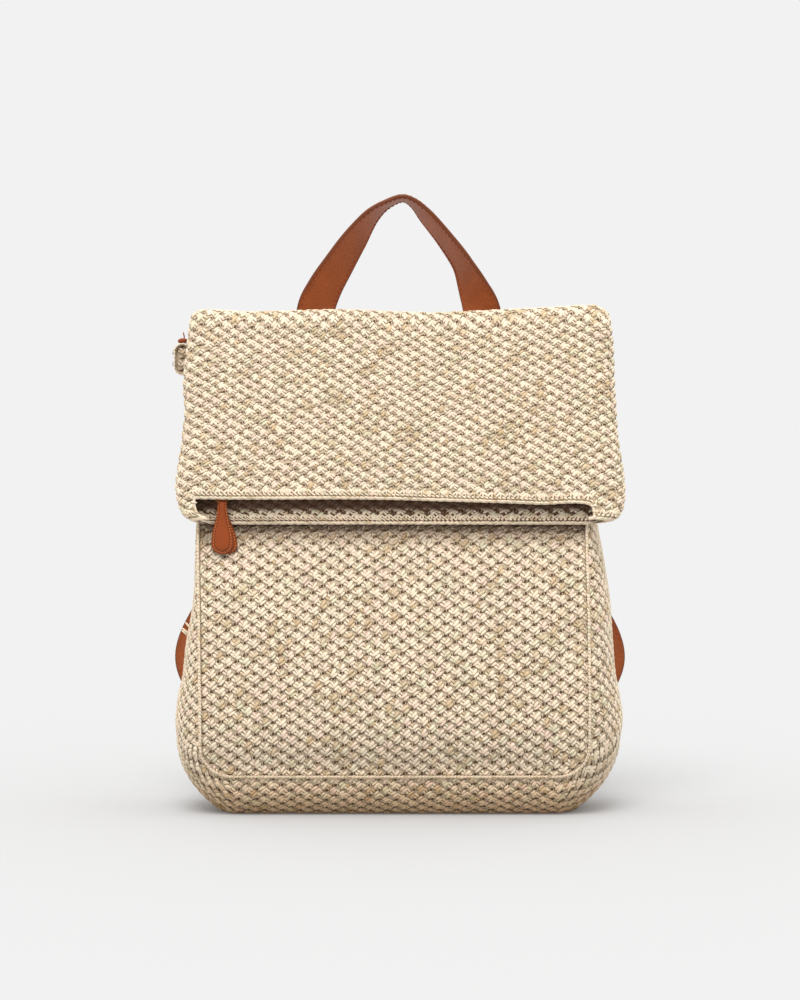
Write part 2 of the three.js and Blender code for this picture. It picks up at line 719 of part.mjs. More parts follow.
function roundedShape(width, height, path) {
  const radius = width / 2;
  const straight = height / 2 - radius;
  path.moveTo(radius, -straight);
  path.lineTo(radius, straight);
  path.absarc(0, straight, radius, 0, Math.PI, false);
  path.lineTo(-radius, -straight);
  path.absarc(0, -straight, radius, Math.PI, 2 * Math.PI, false);
  return path;
}

function tabGeometry() {
  const shape = roundedShape(tabWidth, tabHeight, new THREE.Shape());
  shape.holes.push(roundedShape(tabWidth - 2 * tabWall, tabHeight - 2 * tabWall, new THREE.Path()));
  const options = { depth: tabDepth, bevelEnabled: false, curveSegments: arcSteps };
  const geometry = new THREE.ExtrudeGeometry(shape, options);
  geometry.rotateX(Math.PI / 2);
  const centre = tabCentre();
  geometry.translate(centre.x, centre.y + tabDepth / 2, centre.z);
  return geometry;
}

// A scrap of leather bent over the tab's rounded top.
function trimGeometry() {
  const inside = tabWidth / 2 + gap;
  const outside = inside + trimHeight;
  const shape = new THREE.Shape();
  const start = Math.acos(trimWidth / 2 / outside);
  shape.absarc(0, 0, outside, start, Math.PI - start, false);
  shape.absarc(0, 0, inside, Math.PI - start, start, true);
  shape.closePath();
  const depth = tabDepth - 2 * trimInset;
  const geometry = new THREE.ExtrudeGeometry(shape, { depth, bevelEnabled: false, curveSegments: arcSteps });
  geometry.rotateX(Math.PI / 2);
  const centre = tabCentre();
  geometry.translate(centre.x, centre.y + depth / 2, centre.z + tabHeight / 2 - tabWidth / 2);
  return geometry;
}

// Finishes.
const straw = { color: 0xe3d3b4, roughness: 0.8, metalness: 0 };
const strawLight = { color: 0xf0e4cc, roughness: 0.8, metalness: 0 };
const leather = { color: 0xa25a34, roughness: 0.55, metalness: 0 };
const tape = { color: 0x8a6f4d, roughness: 0.9, metalness: 0 };
const brass = { color: 0xb08a4a, roughness: 0.35, metalness: 1 };

const group = new THREE.Group();

function addPiece(name, geometry, finish) {
  const piece = new THREE.Mesh(geometry, new THREE.MeshStandardMaterial(finish));
  piece.name = name;
  group.add(piece);
}

const body = bodyWalls();
addPiece('front_panel', body.front, straw);
addPiece('back_panel', body.back, straw);
addPiece('gusset', body.gusset, straw);
addPiece('folded_top', foldedTop(), strawLight);
addPiece('front_welt', weltGeometry(body.seam), strawLight);
addPiece('zip_tape', zipTapeGeometry(), tape);
addPiece('zip_slider', sliderGeometry(), brass);
addPiece('zip_pull_back', pullLayerGeometry(0, 0, pullLayer, pullOffset), leather);
const frontLayer = pullLayer + gap;
addPiece('zip_pull_front', pullLayerGeometry(0, frontLayer, frontLayer + pullLayer, 0), leather);
const padLayer = frontLayer + pullLayer + gap;
addPiece('zip_pull_pad', pullLayerGeometry(pullBorder, padLayer, padLayer + pullPad, 0), leather);
addPiece('handle', handleGeometry(), leather);
addPiece('strap_left', strapGeometry(-1), leather);
addPiece('strap_right', strapGeometry(1), leather);
addPiece('side_tab', tabGeometry(), straw);
addPiece('tab_trim', trimGeometry(), leather);

export default group;
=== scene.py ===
"""A backpack of woven straw with a folded top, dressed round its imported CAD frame.

Lengths are metres in the CAD's frame: +Z is up, the front faces -Y and the origin is the middle of the flat
underside. Each cloth is a function of two parameters, and every straw is laid on it by that function.
"""

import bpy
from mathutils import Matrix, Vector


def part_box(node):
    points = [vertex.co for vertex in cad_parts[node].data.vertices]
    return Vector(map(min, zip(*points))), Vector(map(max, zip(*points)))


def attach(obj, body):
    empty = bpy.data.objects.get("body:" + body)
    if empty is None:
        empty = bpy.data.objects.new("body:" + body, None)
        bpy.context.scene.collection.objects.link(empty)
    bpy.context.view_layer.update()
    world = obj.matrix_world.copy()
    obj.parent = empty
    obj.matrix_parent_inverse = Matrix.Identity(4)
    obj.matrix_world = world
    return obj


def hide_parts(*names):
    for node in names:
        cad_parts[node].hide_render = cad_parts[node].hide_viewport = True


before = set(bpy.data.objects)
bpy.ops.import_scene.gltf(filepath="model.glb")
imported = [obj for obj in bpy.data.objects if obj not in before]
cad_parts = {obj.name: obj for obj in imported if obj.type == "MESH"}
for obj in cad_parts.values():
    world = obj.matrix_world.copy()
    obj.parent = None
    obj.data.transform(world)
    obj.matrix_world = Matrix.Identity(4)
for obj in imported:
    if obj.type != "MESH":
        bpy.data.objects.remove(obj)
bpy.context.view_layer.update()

import bpy
import numpy as np
from bpy.props import FloatProperty, FloatVectorProperty, PointerProperty

bl_info = {
    "name": "Woven Straw Backpack",
    "version": (1, 0, 0),
    "blender": (4, 5, 0),
    "location": "3D View > Sidebar > Straw Backpack",
    "description": "A foldover backpack of woven straw with leather handle and straps",
    "category": "Object",
}

QUARTER = np.pi / 2
MM = 0.001
SEAM_INSET = 0.0008  # strands end at least this far inside a seam
END_INSET = 0.0005  # and this far inside a cloth's free end
SEAM_REACH = 0.001  # cells are laid whose middle lies up to this far past a seam
STITCH = 5.75 * MM  # between the stitches of the turned edges
BORDER = 0.0023  # from a leather ribbon's edge to its stitches
RIBBON_PITCH = 0.0032  # between the stitches of a ribbon
PULL_PITCH = 0.0019  # between the stitches of the zip pull
PULL_CURL = 4.0  # the pull's middle lies deeper by this times the square of x
PULL_TIP = 0.0006  # and its tip comes forward by this
DEEP_BROWN = (0.8, 0.46, 0.28)  # painted shade, as shares of the hole's brown
FLOOR_HALF = 30.0
SENSOR = 24.0  # the camera's sensor height in mm
CAMERA_DISTANCE = 2.0
CAMERA_TILT = np.radians(2.0)
CAMERA_AIM = 0.2067  # the height that it looks at
VIEW_HEIGHT = 0.670  # that it sees there
NORMAL_STEP = 0.0002  # for surface normals
WALL_LIGHT = 0.888  # light from the studio walls, the backdrop's tone
TOP_LIGHT = 1.6  # light from the soft box overhead

# Body sections going up: share of the way from lower seam to neck, share of the depth over the neck's, share
# of the lean, share of the sag to the left, share of the crowns, shares of the gusset's reach left and right.
BODY_SECTIONS = np.array([
    [0.00, 0.84, 0.00, 0.9, 0.30, 0.60, 0.66],
    [0.07, 0.94, 0.00, 0.9, 0.70, 0.60, 0.75],
    [0.12, 0.99, 0.00, 0.9, 0.90, 0.66, 0.88],
    [0.18, 1.00, 0.02, 0.9, 1.00, 0.53, 0.72],
    [0.23, 1.00, 0.04, 0.95, 1.00, 0.28, 0.52],
    [0.30, 0.98, 0.06, 1.0, 1.00, 0.11, 0.40],
    [0.41, 0.91, 0.12, 1.1, 0.95, -0.33, 0.25],
    [0.52, 0.81, 0.22, 1.3, 0.85, -0.50, -0.08],
    [0.60, 0.71, 0.32, 1.3, 0.75, -0.55, -0.35],
    [0.73, 0.50, 0.55, 0.9, 0.50, -0.50, -0.34],
    [0.86, 0.25, 0.80, 0.4, 0.20, -0.30, -0.20],
    [0.94, 0.07, 0.95, 0.1, 0.05, -0.10, -0.10],
    [1.00, 0.00, 1.00, 0.0, 0.00, 0.00, 0.00],
])

# The folded top from neck to mouth: share of the tube's length, reach past the neck left and right as shares
# of the flare, share of the puff, share of the crown.
FLAP_SECTIONS = np.array([
    [0.00, 0.00, 0.00, 0.00, 0.00],
    [0.17, 0.00, 0.00, 0.00, 0.00],
    [0.25, 0.14, 0.19, 0.15, 0.10],
    [0.32, 0.28, 0.32, 0.40, 0.20],
    [0.48, 0.52, 0.38, 0.90, 0.50],
    [0.56, 0.35, 0.45, 1.00, 0.65],
    [0.69, 0.54, 0.57, 1.00, 0.80],
    [0.79, 0.81, 0.87, 0.90, 0.90],
    [0.86, 0.97, 1.00, 0.70, 1.00],
    [0.93, 0.75, 0.93, 0.40, 1.00],
    [0.97, 0.35, 0.60, 0.10, 1.00],
    [0.99, -0.15, 0.15, 0.00, 1.00],
    [1.00, -0.80, -0.70, 0.00, 1.00],
])

# Across the flap from left to right: place, rise of the fold line, how far the outer layer ends above the
# inner one's edge.
FLAP_ACROSS = np.array([
    [-1.00, 0.05, 1.00],
    [-0.92, -0.10, 1.00],
    [-0.70, -0.55, 1.00],
    [-0.27, -0.10, 1.00],
    [0.00, -0.60, 0.98],
    [0.18, -0.75, 0.93],
    [0.50, -0.10, 0.82],
    [0.68, 0.30, 0.74],
    [0.92, 0.85, 0.70],
    [1.00, 0.40, 0.00],
])

# Arch of the handle: share of half the span, share of the rise, share of a quarter turn.
HANDLE_ARCH = np.array([
    [-1.000, 0.000, 0.20],
    [-0.900, 0.185, 0.36],
    [-0.730, 0.400, 0.49],
    [-0.545, 0.620, 0.61],
    [-0.338, 0.837, 0.80],
    [-0.154, 0.946, 0.93],
    [0.040, 1.000, 0.97],
    [0.166, 0.955, 0.92],
    [0.314, 0.837, 0.82],
    [0.545, 0.620, 0.77],
    [0.747, 0.400, 0.70],
    [0.878, 0.185, 0.48],
    [0.970, 0.000, 0.25],
])

# Route of a shoulder strap: share of half the seam width, share of the neck's height, share of the bow.
STRAP_ROUTE = np.array([
    [0.20, 0.970, 0.00],
    [0.21, 0.900, 0.00],
    [0.30, 0.810, 0.45],
    [0.50, 0.680, 0.90],
    [0.78, 0.540, 1.00],
    [1.04, 0.410, 0.75],
    [1.13, 0.310, 0.40],
    [1.02, 0.220, 0.15],
    [0.87, 0.145, 0.05],
    [0.79, 0.110, 0.05],
])


def linear(hex_colour):
    """An sRGB hex colour in linear light: ((c + 0.055) / 1.055) to the power 2.4, or c / 12.92 where dark."""
    c = np.array([int(hex_colour[i:i + 2], 16) / 255 for i in (1, 3, 5)])
    return tuple(float(v) for v in np.where(c <= 0.04045, c / 12.92, ((c + 0.055) / 1.055) ** 2.4))


def opaque(colour):
    """A colour with full alpha, as node sockets want it."""
    return (*colour, 1.0)


def length(name, description, default):
    """A length property in metres."""
    return FloatProperty(name=name, description=description, default=default, min=0.0, unit="LENGTH")


def colour(name, description, hex_colour):
    """A colour property whose default is given as sRGB hex."""
    return FloatVectorProperty(name=name, description=description, default=linear(hex_colour), size=3,
                               min=0.0, max=1.0, subtype="COLOR")


class StrawBagSizes(bpy.types.PropertyGroup):
    """Sizes of the bag, the same as in its CAD source"""
    seam_width: length("Seam Width", "Between the two upright seams of the front panel", 0.254)
    side_bulge: length("Side Bulge", "Gusset past the upright seams at its fullest", 0.026)
    depth: length("Depth", "Front to back at the fullest", 0.114)
    height: length("Height", "Floor to the top fold", 0.335)
    seam_height: length("Seam Height", "Floor to the front panel's lower seam", 0.027)
    seam_corner: length("Seam Corner", "Radius of the panels' lower corners", 0.020)
    front_shift: length("Front Shift", "The front panel sags this far to the left", 0.0037)
    floor_sag: length("Floor Sag", "Belly of the bottom that the floor presses flat", 0.008)
    front_crown: length("Front Crown", "The front panel's middle stands this far proud", 0.005)
    back_crown: length("Back Crown", "The back panel's middle stands this far proud", 0.006)
    wall: length("Wall", "Thickness of the woven straw", 0.002)
    gap: length("Gap", "Between pieces that touch", 0.0003)
    seat_gap: length("Seat Gap", "Between a sewn-on leather end and the back", 0.0008)
    welt_radius: length("Welt Radius", "Of the raised seam round the front panel", 0.001)
    neck_depth: length("Neck Depth", "Of the flattened tube where it leaves the body", 0.012)
    mouth_depth: length("Mouth Depth", "Of the flattened tube at the mouth", 0.012)
    neck_lean: length("Neck Lean", "The neck stands this far behind the middle", 0.008)
    neck_rise: length("Neck Rise", "Upright stretch below the fold", 0.014)
    fold_radius: length("Fold Radius", "Of the tube's middle surface round the fold", 0.010)
    flap_flare: length("Flap Flare", "At its widest the flap is this far past the neck each side", 0.0083)
    flap_drop: length("Flap Drop", "Top fold to the inner layer's edge", 0.141)
    hem_step: length("Hem Step", "The outer layer ends this far above the inner one", 0.014)
    flap_clearance: length("Flap Clearance", "Between front panel and flap at the mouth", 0.0034)
    flap_puff: length("Flap Puff", "How far the outer layer bellies out", 0.003)
    flap_crown: length("Flap Crown", "The flap's middle stands this far proud", 0.004)
    fold_wave: length("Fold Wave", "Depth of the soft waves along the fold", 0.004)
    cap_reach: length("Cap Reach", "Rounded side edge of the flattened tube", 0.0127)
    zip_inset: length("Zip Inset", "Zip above the outer layer's edge", 0.005)
    zip_width: length("Zip Width", "Of the zip along the mouth", 0.250)
    zip_tape: length("Zip Tape", "Thickness of the zip tape", 0.0012)
    pull_width: length("Pull Width", "Of the leather pull at its widest", 0.0145)
    pull_length: length("Pull Length", "Of the leather pull", 0.033)
    pull_top: length("Pull Top", "Width of the pull's narrow end", 0.006)
    pull_layer: length("Pull Layer", "Thickness of a layer of the pull", 0.0015)
    pull_pad: length("Pull Pad", "Rise of the pull's padded middle", 0.0008)
    pull_border: length("Pull Border", "Flat border round the padded middle", 0.0022)
    handle_width: length("Handle Width", "Of the leather handle", 0.0265)
    handle_thickness: length("Handle Thickness", "Of the leather handle", 0.003)
    handle_span: length("Handle Span", "Between the handle's legs at the fold", 0.113)
    handle_rise: length("Handle Rise", "Of the handle above the fold", 0.074)
    handle_tail: length("Handle Tail", "Of each handle end, sewn flat down the back", 0.062)
    handle_return: length("Handle Return", "The arch leans forward by this much", 0.005)
    strap_width: length("Strap Width", "Of a shoulder strap", 0.025)
    strap_thickness: length("Strap Thickness", "Of a shoulder strap", 0.003)
    strap_stand: length("Strap Stand", "How far a shoulder strap bows off the back", 0.020)
    tab_width: length("Tab Width", "Of the woven tab's ring", 0.0115)
    tab_height: length("Tab Height", "Of the woven tab's ring", 0.0215)
    tab_depth: length("Tab Depth", "Of the woven tab, front to back", 0.014)
    tab_wall: length("Tab Wall", "Of the woven tab", 0.0018)


class StrawBagWeave(bpy.types.PropertyGroup):
    """Spacing and strand sizes of the openwork weave"""
    hole_pitch: length("Hole Pitch", "Between the holes of one row", 0.0115)
    body_row: length("Body Row", "Between the rows of holes on the body", 0.0040)
    flap_row: length("Flap Row", "Between the rows of holes on the flap", 0.00355)
    relief: length("Relief", "Of the straw above the ground cloth", 0.0012)
    hole_half_width: length("Hole Half Width", "Of the shaded hole between strands", 0.0028)
    hole_half_height: length("Hole Half Height", "Of the shaded hole between strands", 0.0010)
    wander: length("Wander", "How far the rows drift from straight lines", 0.0009)


class StrawBagColours(bpy.types.PropertyGroup):
    """Colours of the straw, the leather and the metal"""
    straw_pale: colour("Pale Straw", "The lightest strands", "#E9D9BF")
    straw_warm: colour("Warm Straw", "Most strands", "#E7D3B8")
    straw_deep: colour("Deep Straw", "The darkest strands", "#C7AC86")
    straw_pink: colour("Pink Straw", "A few strands with a pink cast", "#E6CCB7")
    straw_green: colour("Green Straw", "A few strands with a green cast", "#DAD1B3")
    straw_hole: colour("Hole Brown", "The shaded inside seen through the holes", "#543A20")
    leather: colour("Tan Leather", "The handle and straps", "#8E4722")
    leather_dark: colour("Dark Leather", "Cut edges and creases", "#552612")
    leather_pull: colour("Pull Leather", "The orange brown of the zip pull", "#863A14")
    thread: colour("Thread", "The stitching in the leather", "#96451C")
    thread_pale: colour("Pale Thread", "The stitching in the zip pull", "#C4723E")
    tape: colour("Zip Tape", "The zip's woven tape", "#6A5236")
    brass: colour("Brass", "The slider and the teeth of the zip", "#B89452")
    floor: colour("Floor", "The studio floor", "#B1B1B1")


def smooth_table(table):
    """Every column of a table as a smooth curve over the first one, sampled finely.

    Between two stops the curve is a cubic. At an inner stop its slope is the rise over both neighbouring
    stops, and at the two ends it is level.
    """
    stops, values = table[:, 0], table[:, 1:]
    slopes = np.zeros_like(values)
    slopes[1:-1] = (values[2:] - values[:-2]) / (stops[2:] - stops[:-2])[:, None]
    at = np.linspace(stops[0], stops[-1], 2001)
    i = np.clip(np.searchsorted(stops, at) - 1, 0, len(stops) - 2)
    span = (stops[i + 1] - stops[i])[:, None]
    t = (at - stops[i])[:, None] / span
    curve = ((2 * t**3 - 3 * t**2 + 1) * values[i] + (t**3 - 2 * t**2 + t) * span * slopes[i]
             + (3 * t**2 - 2 * t**3) * values[i + 1] + (t**3 - t**2) * span * slopes[i + 1])
    return at, curve


def read(table, column, at):
    """A smooth table's column at some places."""
    return np.interp(at, table[0], table[1][:, column])


def mix(a, b, share):
    """The value a share of the way from a to b."""
    return a + (b - a) * share


def points_of(*coordinates):
    """Stacks x, y and z arrays of any shapes that fit together into points."""
    return np.stack(np.broadcast_arrays(*coordinates), axis=-1)


def unit(vectors):
    """Vectors scaled to length one."""
    return vectors / np.maximum(np.linalg.norm(vectors, axis=-1, keepdims=True), 1e-12)


class BagForm:
    """The outside of the bag. Each cloth is a function of u and v in metres, with u cross v pointing out."""

    def __init__(self, bag):
        self.bag = bag
        self.body = smooth_table(BODY_SECTIONS)
        self.flap = smooth_table(FLAP_SECTIONS)
        self.across = smooth_table(FLAP_ACROSS)
        self.seam_half = bag.seam_width / 2
        self.fold_height = bag.height - bag.fold_radius - bag.neck_depth / 2
        self.neck_height = self.fold_height - bag.neck_rise
        self.neck_half = self.seam_half + bag.cap_reach
        self.flat_half = self.seam_half + bag.flap_flare
        self.cap_arc = QUARTER * np.hypot(bag.cap_reach, bag.mouth_depth / 2 + bag.flap_puff / 2) / 2**0.5
        # The seam round the body: two uprights, two corners and the bottom.
        self.upright = self.neck_height - bag.seam_height - bag.seam_corner
        self.corner = QUARTER * bag.seam_corner
        self.bottom_half = self.seam_half - bag.seam_corner
        self.seam_length = 2 * (self.upright + self.corner + self.bottom_half)
        self._set_fold()

    def section(self, z):
        """Front, back, shift, crown, left reach and right reach of the body at a height."""
        bag = self.bag
        share = (z - bag.seam_height) / (self.neck_height - bag.seam_height)
        depth = mix(bag.neck_depth, bag.depth, read(self.body, 0, share))
        middle = bag.neck_lean * read(self.body, 1, share)
        return (middle - depth / 2, middle + depth / 2, -bag.front_shift * read(self.body, 2, share),
                read(self.body, 3, share), mix(bag.cap_reach, bag.side_bulge, read(self.body, 4, share)),
                mix(bag.cap_reach, bag.side_bulge, read(self.body, 5, share)))

    def panel_half(self, z):
        """A panel's half width, less at its rounded lower corners, and the share of the corner passed."""
        bag = self.bag
        angle = np.arccos(np.clip(1 - (z - bag.seam_height) / bag.seam_corner, 0, 1))
        return self.seam_half - bag.seam_corner * (1 - np.sin(angle)), angle / QUARTER

    def panel(self, side, x, z):
        """A panel at a place: its seam's depth, and a crown that falls off with the square of x."""
        bag = self.bag
        front, back, shift, crown, _, _ = self.section(z)
        half, passed = self.panel_half(z)
        seam = front if side < 0 else back
        crown = crown * (bag.front_crown if side < 0 else bag.back_crown)
        bulge = crown * (1 - (x / half) ** 2) * np.minimum(1, passed)
        return points_of((shift if side < 0 else 0) + x, seam + side * (bulge + self.dents(x / half, z)), z)

    def dents(self, across, z):
        """Soft unevenness of the cloth, nothing at the seams: three slow waves, in metres."""
        waves = (np.sin(31 * z + 2.1 * across + 0.4) + 0.7 * np.sin(57 * z - 3.9 * across + 1.9)
                 + 0.6 * np.sin(17 * z + 6.1 * across + 3.0))
        return 0.0005 * waves * (1 - np.minimum(1, across**2)) * np.clip((z - 0.045) / 0.04, 0, 1)

    def front_cloth(self, u, v):
        """u runs to the right and v up."""
        return self.panel(-1, u, v)

    def back_cloth(self, u, v):
        """u runs to the left and v up."""
        return self.panel(1, -u, v)

    def seam(self, u):
        """The seams at a distance along them, with 0 at the bottom's middle and the left side positive.

        Gives the front point, the back point, the way in which the gusset bulges and how far.
        """
        bag = self.bag
        side = np.where(u > 0, -1.0, 1.0)
        down = self.seam_length / 2 - np.abs(u)
        turn = np.clip((down - self.upright) / bag.seam_corner, 0, QUARTER)
        past = np.maximum(0, down - self.upright - self.corner)
        z = np.where(down < self.upright, self.neck_height - down,
                     bag.seam_height + bag.seam_corner * (1 - np.sin(turn)))
        half = self.seam_half - bag.seam_corner * (1 - np.cos(turn)) - past
        front, back, shift, _, left, right = self.section(z)
        floor = bag.seam_height + bag.floor_sag
        reach = mix(np.where(side < 0, left, right), floor, (turn / QUARTER) ** 3)
        way = points_of(side * np.cos(turn), 0, -np.sin(turn))
        return points_of(shift + side * half, front, z), points_of(side * half, back, z), way, reach

    def gusset_cloth(self, u, v):
        """u follows the seam from the right neck round the bottom to the left neck, v goes front to back.

        Across the strip it is half an oval with half axes a, front to back, and b, out. A place v from the
        middle lies at the angle t with v = (a + b) t / 2 + (a - b) sin(2 t) / 4, solved by Newton's steps.
        """
        front, back, way, reach = self.seam(u)
        a = np.linalg.norm(back - front, axis=-1) / 2
        t = 2 * v / (a + reach)
        for _ in range(5):
            off = (a + reach) * t / 2 + (a - reach) * np.sin(2 * t) / 4 - v
            t = t - off / ((a + reach) / 2 + (a - reach) * np.cos(2 * t) / 2)
        share = ((1 + np.sin(t)) / 2)[..., None]
        place = mix(front, back, share) + way * (reach * np.cos(t))[..., None]
        place[..., 2] = np.maximum(place[..., 2], 0)
        return place

    def gusset_half(self, u):
        """Half the gusset's width along its oval at a distance along the seam."""
        front, back, _, reach = self.seam(u)
        return QUARTER * (np.linalg.norm(back - front, axis=-1) / 2 + reach) / 2

    def corner_stretch(self, v):
        """The gusset's corner at v over its seam's: one plus the bulge over the radius, less at the seams."""
        half = self.gusset_half(self.bottom_half + self.corner / 2)
        return 1 + self.bag.side_bulge / self.bag.seam_corner * np.cos(QUARTER * np.clip(v / half, -1, 1))

    def along_bottom(self, u, v):
        """Length along the bottom and its corners at v, signed like u, for a place u along the seam."""
        past = np.maximum(0, np.abs(u) - self.bottom_half)
        return np.sign(u) * (np.minimum(np.abs(u), self.bottom_half) + past * self.corner_stretch(v))

    def round_corner(self, s, v):
        """The place along the seam for a length along the bottom and its corners at v."""
        past = np.maximum(0, np.abs(s) - self.bottom_half)
        return np.sign(s) * (np.minimum(np.abs(s), self.bottom_half) + past / self.corner_stretch(v))

    def bottom_cloth(self, s, v):
        """The gusset's bottom and corners by true length: s to the left and v from front to back."""
        return self.gusset_cloth(self.round_corner(s, v), v)

    def _set_fold(self):
        """The tube's middle line in side view: up from the neck, round the fold, straight to the mouth."""
        bag = self.bag
        mouth_height = bag.height - bag.flap_drop
        front, _, _, crown, _, _ = self.section(mouth_height)
        self.fold_y = bag.neck_lean - bag.fold_radius
        mouth_y = front - crown * bag.front_crown - bag.flap_clearance - bag.mouth_depth / 2 + bag.flap_crown
        away_y, away_z = mouth_y - self.fold_y, mouth_height - self.fold_height
        reach = np.hypot(away_y, away_z)
        self.turned = np.arctan2(away_z, away_y) + 2 * np.pi - np.arccos(bag.fold_radius / reach)
        self.straight = np.sqrt(reach**2 - bag.fold_radius**2)
        self.bend_end = bag.neck_rise + bag.fold_radius * self.turned
        self.tube_length = self.bend_end + self.straight

    def fold_line(self, distance):
        """Place, outward direction and lift share on the tube's middle line, at a distance from the neck."""
        bag = self.bag
        angle = np.clip((distance - bag.neck_rise) / bag.fold_radius, 0, self.turned)
        out_y, out_z = np.cos(angle), np.sin(angle)
        past = np.maximum(0, distance - self.bend_end)
        below = np.minimum(0, distance - bag.neck_rise)
        y = self.fold_y + bag.fold_radius * out_y - out_z * past
        z = self.fold_height + bag.fold_radius * out_z + out_y * past + below
        rising = np.sin(QUARTER * angle / self.turned)
        lifted = np.where(angle < self.turned, rising, 1 - past / self.straight)
        return y, z, out_y, out_z, np.where(distance < bag.neck_rise, 0, lifted)

    def tube(self, layer, x, v):
        """The folded tube's outer (layer 1) or inner (layer -1) half, x from the middle along the cloth and v
        from the neck. Past the flat part the cloth turns round the side edge, a quarter oval."""
        bag = self.bag
        turn = QUARTER * np.maximum(0, np.abs(x) - self.flat_half) / self.cap_arc
        across = np.clip(x / self.flat_half, -1, 1)
        level = layer * np.cos(turn)
        y, z, out_y, out_z, lifted = self.fold_line(v)
        share = v / self.tube_length
        left = -self.neck_half - bag.flap_flare * read(self.flap, 0, share)
        right = self.neck_half + bag.flap_flare * read(self.flap, 1, share)
        x = mix(left + bag.cap_reach, right - bag.cap_reach, (across + 1) / 2)
        x = x + np.sign(across) * np.sin(turn) * bag.cap_reach
        half = mix(bag.neck_depth, bag.mouth_depth, share) / 2
        half = half + np.maximum(0, level) * bag.flap_puff * read(self.flap, 2, share)
        wide = np.clip((2 * x - left - right) / (right - left), -1, 1)
        crown = bag.flap_crown * read(self.flap, 3, share) * (1 - wide**2)
        rise = bag.fold_wave * read(self.across, 0, wide) * lifted
        return points_of(x, y + out_y * half * level - crown, z + out_z * half * level + rise)

    def flap_edge(self, u):
        """Where the outer layer ends: short of the inner one, and down to its edge round the side edges."""
        turn = QUARTER * np.maximum(0, np.abs(u) - self.flat_half) / self.cap_arc
        step = read(self.across, 1, np.clip(-u / self.flat_half, -1, 1))
        fading = np.cos(QUARTER * np.clip(4 * turn / QUARTER, 0, 1)) ** 2
        return self.tube_length - self.bag.hem_step * step * fading

    def lining_edge(self, u):
        """Where the inner layer ends."""
        return self.tube_length + 0 * u

    def flap_cloth(self, u, v):
        """The outer layer. u runs to the left and v from the neck over the fold to the mouth."""
        return self.tube(1, -u, v)

    def lining_cloth(self, u, v):
        """The inner layer, seen from the body. u runs to the right and v from the neck to the mouth."""
        return self.tube(-1, u, v)

    def lining_inside(self, u, v):
        """The inner layer's inside, seen through the mouth, just proud of its wall. u runs to the left."""
        return lay(self.lining_cloth, -u, v, -self.bag.wall - self.bag.gap)

    def back_at(self, x, z):
        """How far back the bag reaches at a place: the crowned back panel, and above it the folded tube."""
        bag = self.bag
        _, back, _, crown, _, _ = self.section(z)
        body = back + crown * bag.back_crown * (1 - np.minimum(1, np.abs(x) / self.seam_half) ** 2)
        above = np.maximum(0, z - self.fold_height)
        tube = self.fold_y + np.sqrt((bag.fold_radius + bag.neck_depth / 2) ** 2 - above**2)
        return np.where(z < self.neck_height, body, tube)


def surface_normal(cloth, u, v):
    """The cross product of short steps along u and v."""
    step = NORMAL_STEP
    return unit(np.cross(cloth(u + step, v) - cloth(u - step, v), cloth(u, v + step) - cloth(u, v - step)))


def lay(cloth, u, v, height):
    """Points at a height over a cloth."""
    height = np.asarray(height)
    return cloth(u, v) + surface_normal(cloth, u, v) * height[..., None]


def sample(at, stops, values):
    """Every column of values, given at stops, at some places."""
    return np.stack([np.interp(at, stops, column) for column in values.T], axis=-1)


def running(points):
    """The length along a line of points, at each of them."""
    return np.append(0, np.cumsum(np.linalg.norm(np.diff(points, axis=0), axis=1)))


def circle(count):
    """Angles of points evenly spaced round a circle."""
    return 2 * np.pi * np.arange(count) / count


def add_mesh(name, points, loops, sizes, slot, material, replaced=()):
    """A new smooth piece that rides on the body: points, the corners of all its faces in a row, and each
    face's size."""
    mesh = bpy.data.meshes.new(name)
    loops, sizes = np.asarray(loops, np.int32), np.asarray(sizes, np.int32)
    mesh.vertices.add(len(points))
    mesh.vertices.foreach_set("co", np.asarray(points, np.float32).ravel())
    mesh.loops.add(len(loops))
    mesh.loops.foreach_set("vertex_index", loops)
    mesh.polygons.add(len(sizes))
    mesh.polygons.foreach_set("loop_start", np.cumsum(sizes, dtype=np.int32) - sizes)
    mesh.polygons.foreach_set("use_smooth", np.full(len(sizes), True))
    mesh.update(calc_edges=True)
    mesh.validate()
    piece = bpy.data.objects.new(name, mesh)
    bpy.context.scene.collection.objects.link(piece)
    mesh.materials.append(material)
    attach(piece, "root")
    if replaced:
        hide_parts(*replaced)
    return piece


def add_map(piece, name, values):
    """A UV map from one pair of numbers for each vertex."""
    mesh = piece.data
    corners = np.empty(len(mesh.loops), np.int32)
    mesh.loops.foreach_get("vertex_index", corners)
    layer = mesh.uv_layers.new(name=name)
    layer.data.foreach_set("uv", np.asarray(values, np.float32).reshape(-1, 2)[corners].ravel())


def add_attribute(piece, name, values):
    """A number for each vertex."""
    attribute = piece.data.attributes.new(name, "FLOAT", "POINT")
    attribute.data.foreach_set("value", np.asarray(values, np.float32).ravel())


def grid_faces(high, wide, start=0, turned=False, wrap=False):
    """Corners of the quads of a grid of points, one row of points after another."""
    i, j = np.meshgrid(np.arange(high - 1), np.arange(wide if wrap else wide - 1), indexing="ij")
    here, over = i * wide + j, i * wide + (j + 1) % wide
    quads = np.stack([here, over, over + wide, here + wide], axis=-1).reshape(-1, 4) + start
    return quads[:, ::-1] if turned else quads


